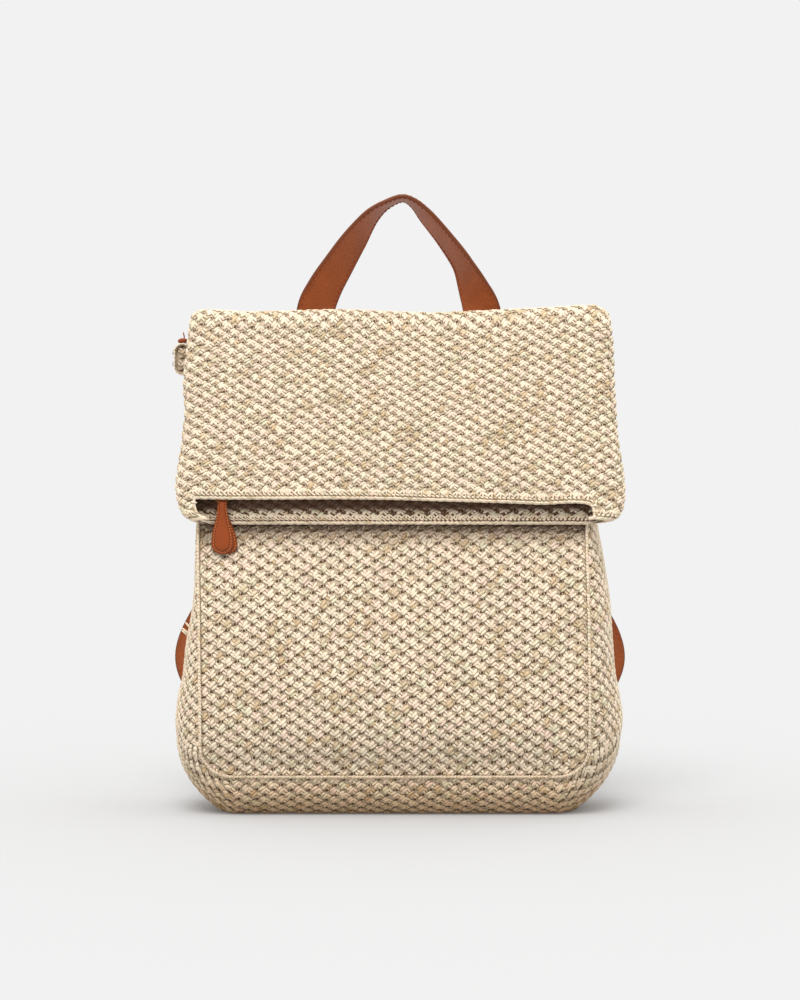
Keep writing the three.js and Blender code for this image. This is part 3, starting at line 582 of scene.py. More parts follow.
def shell(outer, inner, wrap=False):
    """Points, face corners and face sizes of a closed wall between two grids: both faces and the strips along
    the free edges."""
    high, wide = outer.shape[:2]
    count = high * wide
    quads = [grid_faces(high, wide, 0, False, wrap), grid_faces(high, wide, count, True, wrap)]
    index = np.arange(count).reshape(high, wide)
    edges = [(index[0], True), (index[-1], False)]
    if not wrap:
        edges += [(index[:, 0], False), (index[:, -1], True)]
    for line, turned in edges:
        if wrap:
            line = np.append(line, line[0])
        strip = np.stack([line[:-1], line[:-1] + count, line[1:] + count, line[1:]], axis=-1)
        quads.append(strip[:, ::-1] if turned else strip)
    quads = np.concatenate(quads)
    points = np.concatenate([outer.reshape(-1, 3), inner.reshape(-1, 3)])
    return points, quads.ravel(), np.full(len(quads), 4)


def rings(points):
    """Points, face corners and face sizes of a capped tube through rings, as stations by ring points."""
    stations, around = points.shape[:2]
    quads = grid_faces(stations, around, 0, False, True)
    ends = np.concatenate([np.arange(around)[::-1], (stations - 1) * around + np.arange(around)])
    sizes = np.append(np.full(len(quads), 4), [around, around])
    return points.reshape(-1, 3), np.concatenate([quads.ravel(), ends]), sizes


def spindle_faces(count, stations, around):
    """Faces of many like spindles. Each one's points are a tip, its rings and the other tip."""
    each = stations * around + 2
    quads = grid_faces(stations, around, 1, False, True)
    ring = np.arange(around)
    near = np.stack([np.zeros(around, int), 1 + np.roll(ring, -1), 1 + ring], axis=-1)
    last = 1 + (stations - 1) * around
    far = np.stack([np.full(around, each - 1), last + ring, last + np.roll(ring, -1)], axis=-1)
    loops = np.concatenate([quads.ravel(), near.ravel(), far.ravel()])
    sizes = np.concatenate([np.full(len(quads), 4), np.full(2 * around, 3)])
    return (loops[None] + each * np.arange(count)[:, None]).ravel(), np.tile(sizes, count)


def spindle_points(points):
    """The points of many spindles, from stations by ring points. The first and last stations are the tips."""
    inner = points[:, 1:-1].reshape(len(points), -1, points.shape[-1])
    return np.concatenate([points[:, 0, :1], inner, points[:, -1, :1]], axis=1)


class StrandKind:
    """One kind of strand, laid over a cloth: its length and width, how low its ends and how high its middle
    lie, its angle, where it lies from its place, its bow and how far its tone is from its neighbours'."""

    def __init__(self, long, wide, low, high, angle, right, up, bow, own, stations=3, ring=None):
        self.along = np.linspace(-1, 1, stations + 2)
        self.ring = np.array(FLAT_TOP if ring is None else ring)
        self.long, self.wide, self.low, self.high = long, wide, low, high
        self.angle, self.right, self.up, self.bow, self.own = np.radians(angle), right, up, bow, own

    def lay_out(self, places, rng, scatter, tall):
        """Strand points as (u, v, height), with each one's place along and across the strand, in metres.

        With s from -1 to 1 along the strand, its width is (1 - s squared) to the power 0.55 and its height
        the same arch between low and high. bow bends it sideways by bow (1 - s squared). Up the cloth
        everything is stretched by tall.
        """
        count = len(places)
        s = self.along[None, :, None]
        fat = (1 - s**2) ** 0.55
        stray = scatter * rng.uniform(-1, 1, (5, count, 1, 1))
        angle = self.angle + 1.1 * stray[2]
        along = s * self.long / 2 * (1 + stray[0]) + 0 * self.ring[:, 0]
        across = (self.ring[:, 0] * self.wide / 2 * (1 + stray[1]) * fat
                  + self.bow * (1 - s**2) * (1 + 4 * stray[4]))
        height = mix(self.low, self.high * (1 + 1.6 * stray[3]), self.ring[:, 1] * fat)
        u = places[:, 0, None, None] + self.right + along * np.cos(angle) - across * np.sin(angle)
        v = places[:, 1, None, None] + (self.up + along * np.sin(angle) + across * np.cos(angle)) * tall
        full = (count, len(self.along), len(self.ring))
        parts = [np.broadcast_to(part, full) for part in (u, v, height, along, across)]
        return spindle_points(np.stack(parts, axis=-1))


# Rings of strands as (across, height): a flattened straw, and a fine round thread.
FLAT_TOP = [(1, 0.1), (0.55, 0.95), (-0.55, 1.0), (-1, 0.1)]
FINE = [(1, 0.1), (0, 1.0), (-1, 0.1)]


def weave_kinds(weave):
    """The strands of one cell, placed from the middle of the bridge between two holes of a row: two broad
    straws that lean right, two narrower ones that lean left under them, and two threads across the hole."""
    top, hole = weave.relief, weave.hole_pitch / 2
    return [
        StrandKind(7.2 * MM, 2.9 * MM, -top, 0.0, 48, 0.8 * MM, 0.35 * MM, -0.3 * MM, 0.12),
        StrandKind(6.2 * MM, 2.4 * MM, -top, -0.1 * top, 40, 1.9 * MM, -1.5 * MM, -0.2 * MM, 0.15),
        StrandKind(4.6 * MM, 1.9 * MM, -top, -0.22 * top, -48, -1.2 * MM, 1.3 * MM, 0.25 * MM, 0.4),
        StrandKind(4.8 * MM, 2.3 * MM, -top, -0.25 * top, -40, -2.2 * MM, -0.35 * MM, 0.3 * MM, 0.4),
        StrandKind(3.4 * MM, 0.8 * MM, -top, -0.4 * top, 80, hole - 1.05 * MM, 0.0, 0.1 * MM, 0.7, 2, FINE),
        StrandKind(3.4 * MM, 0.75 * MM, -top, -0.45 * top, 97, hole + 1.25 * MM, 0.2 * MM, 0.1 * MM, 0.7, 2,
                   FINE),
    ]


def edge_kinds(relief):
    """The strands of a sewn edge, each with its pitch along it and how far in it lies: three that fan out
    from each stitch, and two rows of slanting loops that close it. Returns (kind, pitch, inset) for each."""
    fan = [(StrandKind(5.2 * MM, 1.7 * MM, -relief, 0.05 * relief, 90 + lean, -lean / 24 * MM, 0, 0, 0.5),
            STITCH, 5.0 * MM) for lean in (-44, 0, 44)]
    loops = [(StrandKind(4.0 * MM, 1.5 * MM, -relief, 0.15 * relief, 152, 0, 0, 0.2 * MM, 0.5),
              2.9 * MM, 2.9 * MM),
             (StrandKind(4.6 * MM, 1.7 * MM, -relief, 0.35 * relief, 168, 0, 0, -0.25 * MM, 0.4),
              3.1 * MM, 1.2 * MM)]
    return fan + loops


def drift(weave, u, v):
    """How far the lattice drifts at a place: slow waves of the wander's size."""
    return (weave.wander * np.sin(38 * v + 9 * u), 0.7 * weave.wander * np.sin(29 * u + 5 * v + 1.0))


def lattice(weave, row, low, high):
    """Middles of the bridges between holes, in rows that step by half a pitch, over a rectangle of u, v."""
    rows = np.arange(np.floor(low[1] / row), np.ceil(high[1] / row) + 1)
    columns = np.arange(np.floor(low[0] / weave.hole_pitch) - 1, np.ceil(high[0] / weave.hole_pitch) + 1)
    p, q = np.meshgrid(columns, rows)
    p = p + 0.5 + 0.5 * (q % 2)
    places = np.stack([p.ravel() * weave.hole_pitch, q.ravel() * row], axis=-1)
    return places + np.stack(drift(weave, places[:, 0], places[:, 1]), axis=-1)


def add_strands(name, cloth, groups, seed, clamp=None, scatter=0.15, tall=1.0, shaded=None):
    """Strands over a cloth as one mesh. groups holds a strand kind and its places for each kind, clamp keeps
    their points inside the seams, and shaded says how far painted shade browns them at a place, from 0 to 1."""
    relief = bpy.context.scene.straw_bag_weave.relief
    rng = np.random.default_rng(seed)
    every, loops, sizes, tones, start = [], [], [], [], 0
    for kind, places in groups:
        cell = rng.random(len(places)) if not tones or len(places) != len(cell) else cell
        strands = kind.lay_out(places, rng, scatter, tall)
        count, each = strands.shape[:2]
        corners, face_sizes = spindle_faces(count, len(kind.along) - 2, len(kind.ring))
        every.append(strands.reshape(-1, 5))
        loops.append(corners + start)
        sizes.append(face_sizes)
        tones.append(np.repeat((cell + kind.own * rng.random(count)) % 1, each))
        start += count * each
    u, v, height, along, across = np.concatenate(every).T
    if clamp:
        u, v = clamp(u, v)
    piece = add_mesh(name, lay(cloth, u, v, height), np.concatenate(loops), np.concatenate(sizes), "straw",
                     straw())
    tone = np.concatenate(tones)
    add_map(piece, "Strand", np.stack([along + 0.05 * tone, across + 0.3 * tone], axis=-1))
    spread = max(np.ptp(u), np.ptp(v))
    add_map(piece, "OFBake", np.stack([(u - u.min()) / spread, (v - v.min()) / spread], axis=-1))
    add_attribute(piece, "tone", tone)
    # The material paints shade from the lift: a strand is darker where it lies low, near its root.
    add_attribute(piece, "lift", np.clip(1 + height / relief, 0, 1))
    if shaded:
        add_attribute(piece, "shaded", shaded(u, v))


def add_weave(name, cloth, row, low, high, keep, clamp, seed, shaded=None):
    """Straw over a cloth, cell by cell. keep says which places to keep."""
    weave = bpy.context.scene.straw_bag_weave
    places = lattice(weave, row, low, high)
    places = places[keep(places[:, 0], places[:, 1])]
    places = places + np.random.default_rng(seed + 100).normal(0, 0.00028, places.shape)
    groups = [(kind, places) for kind in weave_kinds(weave)]
    add_strands(name, cloth, groups, seed, clamp, tall=row / weave.body_row, shaded=shaded)


def add_edge(name, cloth, edge, low, high, seed, shaded=None):
    """The strands of a sewn edge along a cloth's edge, whose place is a function of u, from low to high."""
    groups = []
    for kind, pitch, inset in edge_kinds(bpy.context.scene.straw_bag_weave.relief):
        u = np.arange(low, high, pitch)
        groups.append((kind, np.stack([u, edge(u) - inset], axis=-1)))
    add_strands(name, cloth, groups, seed, scatter=0.13, shaded=shaded)


def add_ground(name, outer, inner, cells, openness, replaced, wrap=False, inside=0.0):
    """The ground cloth under the straw: a closed wall between two grids of points. cells are its places on
    the weave's lattice, where its holes are painted, openness says how open they are, and inside how far
    painted shade browns its inner face."""
    piece = add_mesh(name, *shell(outer, inner, wrap), "straw", ground(), replaced)
    cells = cells.reshape(-1, 2)
    add_map(piece, "Lattice", np.concatenate([cells, cells]))
    openness = np.broadcast_to(openness, outer.shape[:2]).ravel()
    add_attribute(piece, "open", np.concatenate([openness, openness]))
    add_attribute(piece, "shaded", np.repeat([0.0, inside], openness.size))


def cells_at(weave, a, b, row):
    """Places on the lattice, in pitches and rows, of the places a and b along it in metres."""
    over_a, over_b = drift(weave, a, b)
    return np.stack([(a - over_a) / weave.hole_pitch, (b - over_b) / row], axis=-1)


def add_node(tree, kind, sockets=None, **settings):
    """Adds a node. Each entry of sockets is a value, or the output of another node to link."""
    node = tree.nodes.new(kind)
    for name, value in settings.items():
        setattr(node, name, value)
    for name, value in (sockets or {}).items():
        if isinstance(value, bpy.types.NodeSocket):
            tree.links.new(value, node.inputs[name])
        else:
            node.inputs[name].default_value = value
    return node


def maths(tree, operation, *values):
    """The output of a Math node over values or outputs."""
    return add_node(tree, "ShaderNodeMath", dict(enumerate(values)), operation=operation).outputs[0]


def blended(tree, share, a, b, way="MIX"):
    """The output of a colour mix of a and b by a share."""
    node = add_node(tree, "ShaderNodeMix", {0: share, 6: a, 7: b}, data_type="RGBA", blend_type=way)
    return node.outputs[2]


def noise(tree, vector, scale, detail=2.0):
    """The output of a noise texture."""
    sockets = {"Vector": vector, "Scale": scale, "Detail": detail}
    return add_node(tree, "ShaderNodeTexNoise", sockets).outputs[0]


def ranged(tree, value, start, end, low, high, **settings):
    """The output of a Map Range node: from start to end a value becomes low to high, and no more outside."""
    sockets = {0: value, 1: start, 2: end, 3: low, 4: high}
    return add_node(tree, "ShaderNodeMapRange", sockets, **settings).outputs[0]


def vertex_value(tree, name):
    """The output of a vertex attribute."""
    return add_node(tree, "ShaderNodeAttribute", attribute_name=name).outputs["Fac"]


def object_place(tree):
    """The output of the place on the object, in metres."""
    return add_node(tree, "ShaderNodeTexCoord").outputs["Object"]


def with_painted_shade(tree, plain):
    """Painted shade: a colour, turned to the bag's deep brown as far as the vertex attribute "shaded" says.
    """
    deep = np.array(bpy.context.scene.straw_bag_colours.straw_hole) * DEEP_BROWN
    return blended(tree, vertex_value(tree, "shaded"), plain, opaque(deep))


def finish_surface(tree, principled, tint, height, strength, distance):
    """Links a material's colour, and a height as its bump."""
    tree.links.new(tint, principled.inputs["Base Color"])
    bump = add_node(tree, "ShaderNodeBump", {"Height": height, "Strength": strength, "Distance": distance})
    tree.links.new(bump.outputs[0], principled.inputs["Normal"])


def new_material(name, **shader):
    """A material with its principled shader's plain sockets set, its tree and its shader node."""
    material = bpy.data.materials.new(name)
    material.use_nodes = True
    principled = material.node_tree.nodes["Principled BSDF"]
    for key, value in shader.items():
        principled.inputs[key.replace("_", " ")].default_value = value
    return material, material.node_tree, principled


def straw_material():
    """Woven paper straw, twisted from dyed paper and lightly sized: dry, with a soft gloss along each strand.

    Each strand has its own cream, a few a pink or green one, fine streaks along it and painted shade at its
    root.
    """
    colours = bpy.context.scene.straw_bag_colours
    material, tree, principled = new_material("woven_paper_straw", Roughness=0.62)
    principled.inputs["Specular IOR Level"].default_value = 0.3
    strand = add_node(tree, "ShaderNodeUVMap", uv_map="Strand").outputs[0]
    place = object_place(tree)
    ramp = add_node(tree, "ShaderNodeValToRGB", {0: vertex_value(tree, "tone")})
    stops = [(0.0, colours.straw_deep), (0.12, colours.straw_warm), (0.34, colours.straw_pale),
             (0.52, colours.straw_warm), (0.66, colours.straw_pink), (0.78, colours.straw_pale),
             (0.9, colours.straw_green), (1.0, colours.straw_deep)]
    while len(ramp.color_ramp.elements) < len(stops):
        ramp.color_ramp.elements.new(0.5)
    for element, (at, shade) in zip(ramp.color_ramp.elements, stops):
        element.position, element.color = at, opaque(shade)
    # Fibres are about 0.1 mm across and many times as long; drawn at 0.5 mm, the finest that shows.
    fine = add_node(tree, "ShaderNodeMapping", {"Vector": strand, "Scale": (280, 1900, 1)}).outputs[0]
    streaks = noise(tree, fine, 1.0, 3.0)
    # The dye takes unevenly, in clouds about 12 mm across.
    clouds = noise(tree, place, 85.0)
    pale = ranged(tree, streaks, 0.3, 0.7, 0.86, 1.06)
    cloudy = ranged(tree, clouds, 0.3, 0.7, 0.9, 1.06)
    # Painted shade at each strand's root, where it lies low on the cloth.
    rooted = ranged(tree, vertex_value(tree, "lift"), 0.0, 0.7, 0.62, 1.0)
    shade = maths(tree, "MULTIPLY", maths(tree, "MULTIPLY", pale, cloudy), rooted)
    # Painted shade: towards the floor the straw is darker and browner, as in the photo.
    height = add_node(tree, "ShaderNodeSeparateXYZ", {0: place}).outputs[2]
    foot = ranged(tree, height, 0.0, 0.032, 0.76, 1.0)
    channels = [maths(tree, "MULTIPLY", shade, maths(tree, "POWER", foot, power))
                for power in (1.0, 1.8, 2.8)]
    shades = add_node(tree, "ShaderNodeCombineColor", dict(enumerate(channels))).outputs[0]
    dyed = blended(tree, 1.0, ramp.outputs[0], shades, "MULTIPLY")
    finish_surface(tree, principled, with_painted_shade(tree, dyed), streaks, 0.8, 0.0003)
    return material


def ground_material():
    """The lower turns of the same straw, in painted shade: darker cream between the strands, and dark brown
    where a hole would show the shaded inside of the bag. Holes are slanting ovals on a lattice whose odd rows
    step by half a pitch."""
    colours = bpy.context.scene.straw_bag_colours
    weave = bpy.context.scene.straw_bag_weave
    material, tree, principled = new_material("straw_ground", Roughness=0.85)
    cells = add_node(tree, "ShaderNodeUVMap", uv_map="Lattice").outputs[0]
    split = add_node(tree, "ShaderNodeSeparateXYZ", {0: cells})
    row = maths(tree, "ROUND", split.outputs[1])
    odd = maths(tree, "FLOORED_MODULO", row, 2.0)
    column = maths(tree, "MULTIPLY_ADD", odd, -0.5, split.outputs[0])
    off_column = maths(tree, "SUBTRACT", column, maths(tree, "ROUND", column))
    # A hole rises by a sixth of its length to the right.
    off_row = maths(tree, "MULTIPLY_ADD", off_column, -0.48, maths(tree, "SUBTRACT", split.outputs[1], row))
    across = maths(tree, "MULTIPLY", off_column, weave.hole_pitch / weave.hole_half_width)
    up = maths(tree, "MULTIPLY", off_row, weave.body_row / weave.hole_half_height)
    reach = maths(tree, "ADD", maths(tree, "POWER", across, 2.0), maths(tree, "POWER", up, 2.0))
    oval = maths(tree, "DIVIDE", reach, maths(tree, "MAXIMUM", vertex_value(tree, "open"), 0.001))
    hole = ranged(tree, oval, 0.6, 1.4, 1.0, 0.0, interpolation_type="SMOOTHSTEP")
    # Strands of the lower turns are about 1 mm wide, and lean like the ones above.
    sockets = {"Vector": cells, "Rotation": (0, 0, -0.5), "Scale": (3.0, 5.5, 1)}
    mottle = noise(tree, add_node(tree, "ShaderNodeMapping", sockets).outputs[0], 1.0, 3.0)
    # Painted shade: the lower turns are darker copies of the deep and warm straw.
    straws = blended(tree, mottle, opaque(np.array(colours.straw_deep) * 0.6),
                     opaque(np.array(colours.straw_warm) * 0.85))
    # Painted shade: dark brown holes, where the shaded inside of the bag would show.
    painted = blended(tree, hole, straws, opaque(colours.straw_hole))
    finish_surface(tree, principled, with_painted_shade(tree, painted), mottle, 0.6, 0.0005)
    return material


def leather_material(name, main, rough):
    """Vegetable tanned cowhide, dyed through, with a waxed finish: a fine pebble grain that catches the
    light, slow changes of colour and darker, burnished cut edges."""
    colours = bpy.context.scene.straw_bag_colours
    material, tree, principled = new_material(name, Roughness=rough, IOR=1.48)
    place = object_place(tree)
    slow = noise(tree, place, 55.0, 4.0)
    # Pebble grain is about 0.6 mm; drawn at 1.1 mm, the finest that shows.
    pebble = add_node(tree, "ShaderNodeTexVoronoi", {"Vector": place, "Scale": 900.0}).outputs[0]
    grain = maths(tree, "MULTIPLY_ADD", noise(tree, place, 1400.0), 0.5, pebble)
    worn = blended(tree, slow, opaque(np.array(main) * 0.72), opaque(np.minimum(np.array(main) * 1.35, 1)))
    dark = ranged(tree, vertex_value(tree, "edge"), 0.0, 1.0, 0.0, 0.85)
    dyed = blended(tree, dark, worn, opaque(colours.leather_dark))
    # Tinted highlights, as warm as the photo's.
    principled.inputs["Specular Tint"].default_value = (1.0, 0.7, 0.5, 1)
    finish_surface(tree, principled, dyed, grain, 0.35, 0.0004)
    return material


def thread_material(name, shade):
    """Waxed linen thread, twisted and pulled tight: small bright turns that stand off the leather."""
    material, tree, principled = new_material(name, Roughness=0.55)
    # The thread is 0.7 mm thick with a turn of its twist about every millimetre.
    twist = noise(tree, object_place(tree), 1000.0)
    dyed = blended(tree, twist, opaque(np.array(shade) * 0.7), opaque(np.minimum(np.array(shade) * 1.3, 1)))
    finish_surface(tree, principled, dyed, twist, 0.4, 0.0002)
    return material


def tape_material():
    """Polyester zip tape in a fine twill: matt, with slanting ribs about 0.8 mm apart."""
    colours = bpy.context.scene.straw_bag_colours
    material, tree, principled = new_material("zip_twill", Roughness=0.85)
    sockets = {"Vector": object_place(tree), "Rotation": (0, 0, 0.785)}
    turned = add_node(tree, "ShaderNodeMapping", sockets).outputs[0]
    sockets = {"Vector": turned, "Scale": 390.0, "Distortion": 1.0}
    ribs = add_node(tree, "ShaderNodeTexWave", sockets).outputs[0]
    dyed = blended(tree, ribs, opaque(np.array(colours.tape) * 0.6), opaque(colours.tape))
    finish_surface(tree, principled, dyed, ribs, 0.6, 0.0003)
    return material


def brass_material():
    """Die-cast brass with an antiqued, tumbled surface: satin, with soft dull patches."""
    colours = bpy.context.scene.straw_bag_colours
    material, tree, principled = new_material("antiqued_brass", Metallic=1.0)
    patches = noise(tree, object_place(tree), 420.0, 3.0)
    tone = blended(tree, patches, opaque(np.array(colours.brass) * 0.55), opaque(colours.brass))
    tree.links.new(tone, principled.inputs["Base Color"])
    tree.links.new(ranged(tree, patches, 0.0, 1.0, 0.5, 0.3), principled.inputs["Roughness"])
    return material


def floor_material():
    """Matt white studio paper: plain, with a little light of its own so that it stays pale."""
    colours = bpy.context.scene.straw_bag_colours
    material, tree, principled = new_material("studio_paper", Roughness=1.0, Emission_Strength=0.068)
    principled.inputs["Base Color"].default_value = opaque(colours.floor)
    principled.inputs["Emission Color"].default_value = (1, 1, 1, 1)
    principled.inputs["Specular IOR Level"].default_value = 0.0
    return material


def material_of(name, make, *values):
    """A material that several pieces share, made the first time that it is wanted."""
    found = bpy.data.materials.get(name)
    return found if found else make(*values)


def straw():
    """The straw of every strand."""
    return material_of("woven_paper_straw", straw_material)


def ground():
    """The cloth under the straw."""
    return material_of("straw_ground", ground_material)


def leather():
    """The leather of the handle and straps."""
    colours = bpy.context.scene.straw_bag_colours
    return material_of("tanned_cowhide", leather_material, "tanned_cowhide", colours.leather, 0.5)


def pull_leather():
    """The smoother, redder leather of the zip pull."""
    colours = bpy.context.scene.straw_bag_colours
    return material_of("smooth_calf", leather_material, "smooth_calf", colours.leather_pull, 0.42)


def thread():
    """The stitching in the leather."""
    colours = bpy.context.scene.straw_bag_colours
    return material_of("waxed_linen_thread", thread_material, "waxed_linen_thread", colours.thread)


def near_seam(distance):
    """How open the holes are at a distance from a seam: closed within 2 mm of it, open from 4 mm."""
    return np.clip(distance / 0.002 - 1, 0, 1)


def add_panel(side):
    """A panel's ground cloth and straw. Its grid narrows with the panel round the lower corners."""
    form = BagForm(bpy.context.scene.straw_bag)
    bag, weave = form.bag, bpy.context.scene.straw_bag_weave
    front = side < 0
    name, cloth, seed = (("front_panel", form.front_cloth, 11) if front else
                         ("back_panel", form.back_cloth, 12))
    inset = bag.gap / 2
    turn = np.linspace(0, QUARTER, 9)[:-1]
    heights = np.concatenate([bag.seam_height + bag.seam_corner * (1 - np.cos(turn)),
                              np.linspace(bag.seam_height + bag.seam_corner, form.neck_height - inset, 60)])
    u, v = np.meshgrid(np.linspace(-1, 1, 65), heights)
    half, _ = form.panel_half(v)
    u, v = u * (half - inset), v + inset * (v < bag.seam_height + inset)
    add_ground(name + "_ground", lay(cloth, u, v, -weave.relief + 0 * u), lay(cloth, u, v, -bag.wall + 0 * u),
               cells_at(weave, u, v, weave.body_row), near_seam(half - np.abs(u)), [name])

    def keep(u, v):
        half, _ = form.panel_half(v)
        return ((np.abs(u) < half + 1.5 * SEAM_REACH)
                & (v > bag.seam_height - SEAM_REACH) & (v < form.neck_height))

    def clamp(u, v):
        v = np.clip(v, bag.seam_height + SEAM_INSET, form.neck_height - END_INSET)
        half, _ = form.panel_half(v)
        return np.clip(u, -half + SEAM_INSET, half - SEAM_INSET), v

    def shaded(u, v):
        # Painted shade: in the photo the front is darker under the flap's edge than the even light makes it.
        # It is full to 4 mm below the edge and gone 13 mm further down.
        return 0.82 * np.clip(1 - (bag.height - bag.flap_drop - v - 0.004) / 0.013, 0, 1) * front

    low, high = (-form.seam_half, bag.seam_height), (form.seam_half, form.neck_height)
    add_weave(name + "_straw", cloth, weave.body_row, low, high, keep, clamp, seed, shaded)


def add_gusset():
    """The gusset's ground cloth in one piece, and its straw in three: both sides, with their rows level like
    the panels', and the bottom with its corners, whose rows follow the seam."""
    form = BagForm(bpy.context.scene.straw_bag)
    bag, weave = form.bag, bpy.context.scene.straw_bag_weave
    reach = form.seam_length / 2 - bag.gap / 2
    border, row = form.bottom_half + form.corner, weave.body_row
    doubled = np.array([-border - 1e-4, -border + 1e-4, border - 1e-4, border + 1e-4])
    along = np.sort(np.concatenate([np.linspace(-reach, reach, 241), doubled]))
    u, share = np.meshgrid(along, np.linspace(-1, 1, 49))
    v = share * (form.gusset_half(u) - bag.gap / 2)
    level = np.abs(u) > border
    a = np.where(level, -np.sign(u) * v, form.along_bottom(u, v))
    cells = cells_at(weave, a, np.where(level, np.abs(u), v), row)
    add_ground("gusset_ground", lay(form.gusset_cloth, u, v, -weave.relief + 0 * u),
               lay(form.gusset_cloth, u, v, -bag.wall + 0 * u), cells,
               near_seam(form.gusset_half(u) - np.abs(v)), ["gusset"])
    widest = bag.depth / 2 + bag.seam_height
    far = form.bottom_half + form.corner * (1 + bag.side_bulge / bag.seam_corner)

    def keep_bottom(s, v):
        u = form.round_corner(s, v)
        return (np.abs(u) <= border) & (np.abs(v) < form.gusset_half(u) + SEAM_REACH)

    def clamp_bottom(s, v):
        half = form.gusset_half(form.round_corner(s, v)) - SEAM_INSET
        return s, np.clip(v, -half, half)

    add_weave("gusset_bottom_straw", form.bottom_cloth, row, (-far, -widest), (far, widest), keep_bottom,
              clamp_bottom, 22)
    for name, side, seed in (("right", -1, 21), ("left", 1, 23)):
        def side_cloth(a, b):
            return form.gusset_cloth(side * b, -side * a)

        def keep(a, b):
            return (b > border) & (b < reach) & (np.abs(a) < form.gusset_half(side * b) + SEAM_REACH)

        def clamp(a, b):
            b = np.minimum(b, reach - END_INSET)
            half = form.gusset_half(side * b) - SEAM_INSET
            return np.clip(a, -half, half), b

        add_weave(f"gusset_{name}_straw", side_cloth, row, (-widest, border), (widest, reach), keep, clamp,
                  seed)


def add_folded_top():
    """The folded top's ground cloth, a closed loop of both layers, its straw outside, and in the mouth."""
    form = BagForm(bpy.context.scene.straw_bag)
    bag, weave = form.bag, bpy.context.scene.straw_bag_weave
    side, start, end, sewn = form.flat_half + form.cap_arc, bag.gap / 2, form.tube_length, 0.0062
    flat = np.linspace(-form.flat_half, form.flat_half, 70)
    turn = form.flat_half + form.cap_arc * np.linspace(0, 1, 9)[1:]
    u_line = np.concatenate([-turn[::-1], flat, turn])
    v_line = np.concatenate([np.linspace(start, form.bend_end, 26)[:-1], np.linspace(form.bend_end, end, 48)])
    u, v = np.meshgrid(u_line[:-1], v_line)
    fitted = mix(form.bend_end, form.flap_edge(u), (v - form.bend_end) / form.straight)
    outer_v = np.where(v < form.bend_end, v, fitted)
    outer, inner = (np.concatenate([lay(form.flap_cloth, u, outer_v, -depth + 0 * u),
                                    lay(form.lining_cloth, u, v, -depth + 0 * u)], axis=1)
                    for depth in (weave.relief, bag.wall - 0.0005))
    cells = np.concatenate([cells_at(weave, u, at, weave.flap_row) for at in (outer_v, v)], axis=1)
    short = np.concatenate([form.flap_edge(u) - outer_v, end - v], axis=1)
    openness = 0.75 * np.clip((short - sewn) / 0.001, 0, 1)
    # Painted shade browns the loop's inner face.
    add_ground("folded_top_ground", outer, inner, cells, openness, ["folded_top"], wrap=True, inside=0.9)

    def deep(u, v):
        # Painted shade inside the mouth, from 8 mm in and full at 11 mm.
        return 0.9 * np.clip((end - v - 0.0078) / 0.003, 0, 1)

    layers = [("flap", form.flap_cloth, form.flap_edge, start, side, 31, None),
              ("lining", form.lining_cloth, form.lining_edge, end - 0.045, side, 32, None),
              ("mouth_inside", form.lining_inside, form.lining_edge, end - 0.034, form.flat_half, 33, deep)]
    for name, cloth, edge, first, half, seed, shaded in layers:
        def keep(u, v):
            return (np.abs(u) <= half) & (v > first + 0.001) & (v < edge(u) - sewn + 0.0014)

        def clamp(u, v):
            return np.clip(u, -side - 0.004, side + 0.004), np.clip(v, start + END_INSET, edge(u) - 0.001)

        add_weave(f"{name}_straw", cloth, weave.flap_row, (-half, first), (half, end), keep, clamp, seed,
                  shaded)
        add_edge(f"{name}_edge", cloth, edge, -half, half, seed + 10, shaded)


def centripetal(stops, count):
    """A smooth curve through stops, at evenly spaced shares of their number.

    It is the centripetal Catmull-Rom spline: each span's end slopes weigh the neighbouring spans by the
    square roots of their lengths.
    """
    before, after = 2 * stops[0] - stops[1], 2 * stops[-1] - stops[-2]
    padded = np.concatenate([[before], stops, [after]])
    t = np.linspace(0, len(stops) - 1, count)
    i = np.minimum(t.astype(int), len(stops) - 2)
    w = (t - i)[:, None]
    p0, p1, p2, p3 = (padded[i + k] for k in range(4))
    d0, d1, d2 = (np.sqrt(np.linalg.norm(b - a, axis=1, keepdims=True))
                  for a, b in ((p0, p1), (p1, p2), (p2, p3)))
    d1 = np.where(d1 < 1e-4, 1, d1)
    d0, d2 = np.where(d0 < 1e-4, d1, d0), np.where(d2 < 1e-4, d1, d2)
    s1 = ((p1 - p0) / d0 - (p2 - p0) / (d0 + d1) + (p2 - p1) / d1) * d1
    s2 = ((p2 - p1) / d1 - (p3 - p1) / (d1 + d2) + (p3 - p2) / d2) * d1
    return p1 + s1 * w + (3 * (p2 - p1) - 2 * s1 - s2) * w**2 + (2 * (p1 - p2) + s1 + s2) * w**3


def ribbon_frames(route, sides, count):
    """Places along a ribbon, evenly spaced, with the ways along, across and out at each."""
    curve, over = centripetal(route, 600), centripetal(sides, 600)
    steps = running(curve)
    even = np.linspace(0, steps[-1], count)
    place, over = sample(even, steps, curve), sample(even, steps, over)
    along = unit(np.gradient(place, axis=0))
    over = unit(over - along * np.sum(over * along, axis=1, keepdims=True))
    return place, along, over, np.cross(along, over), even


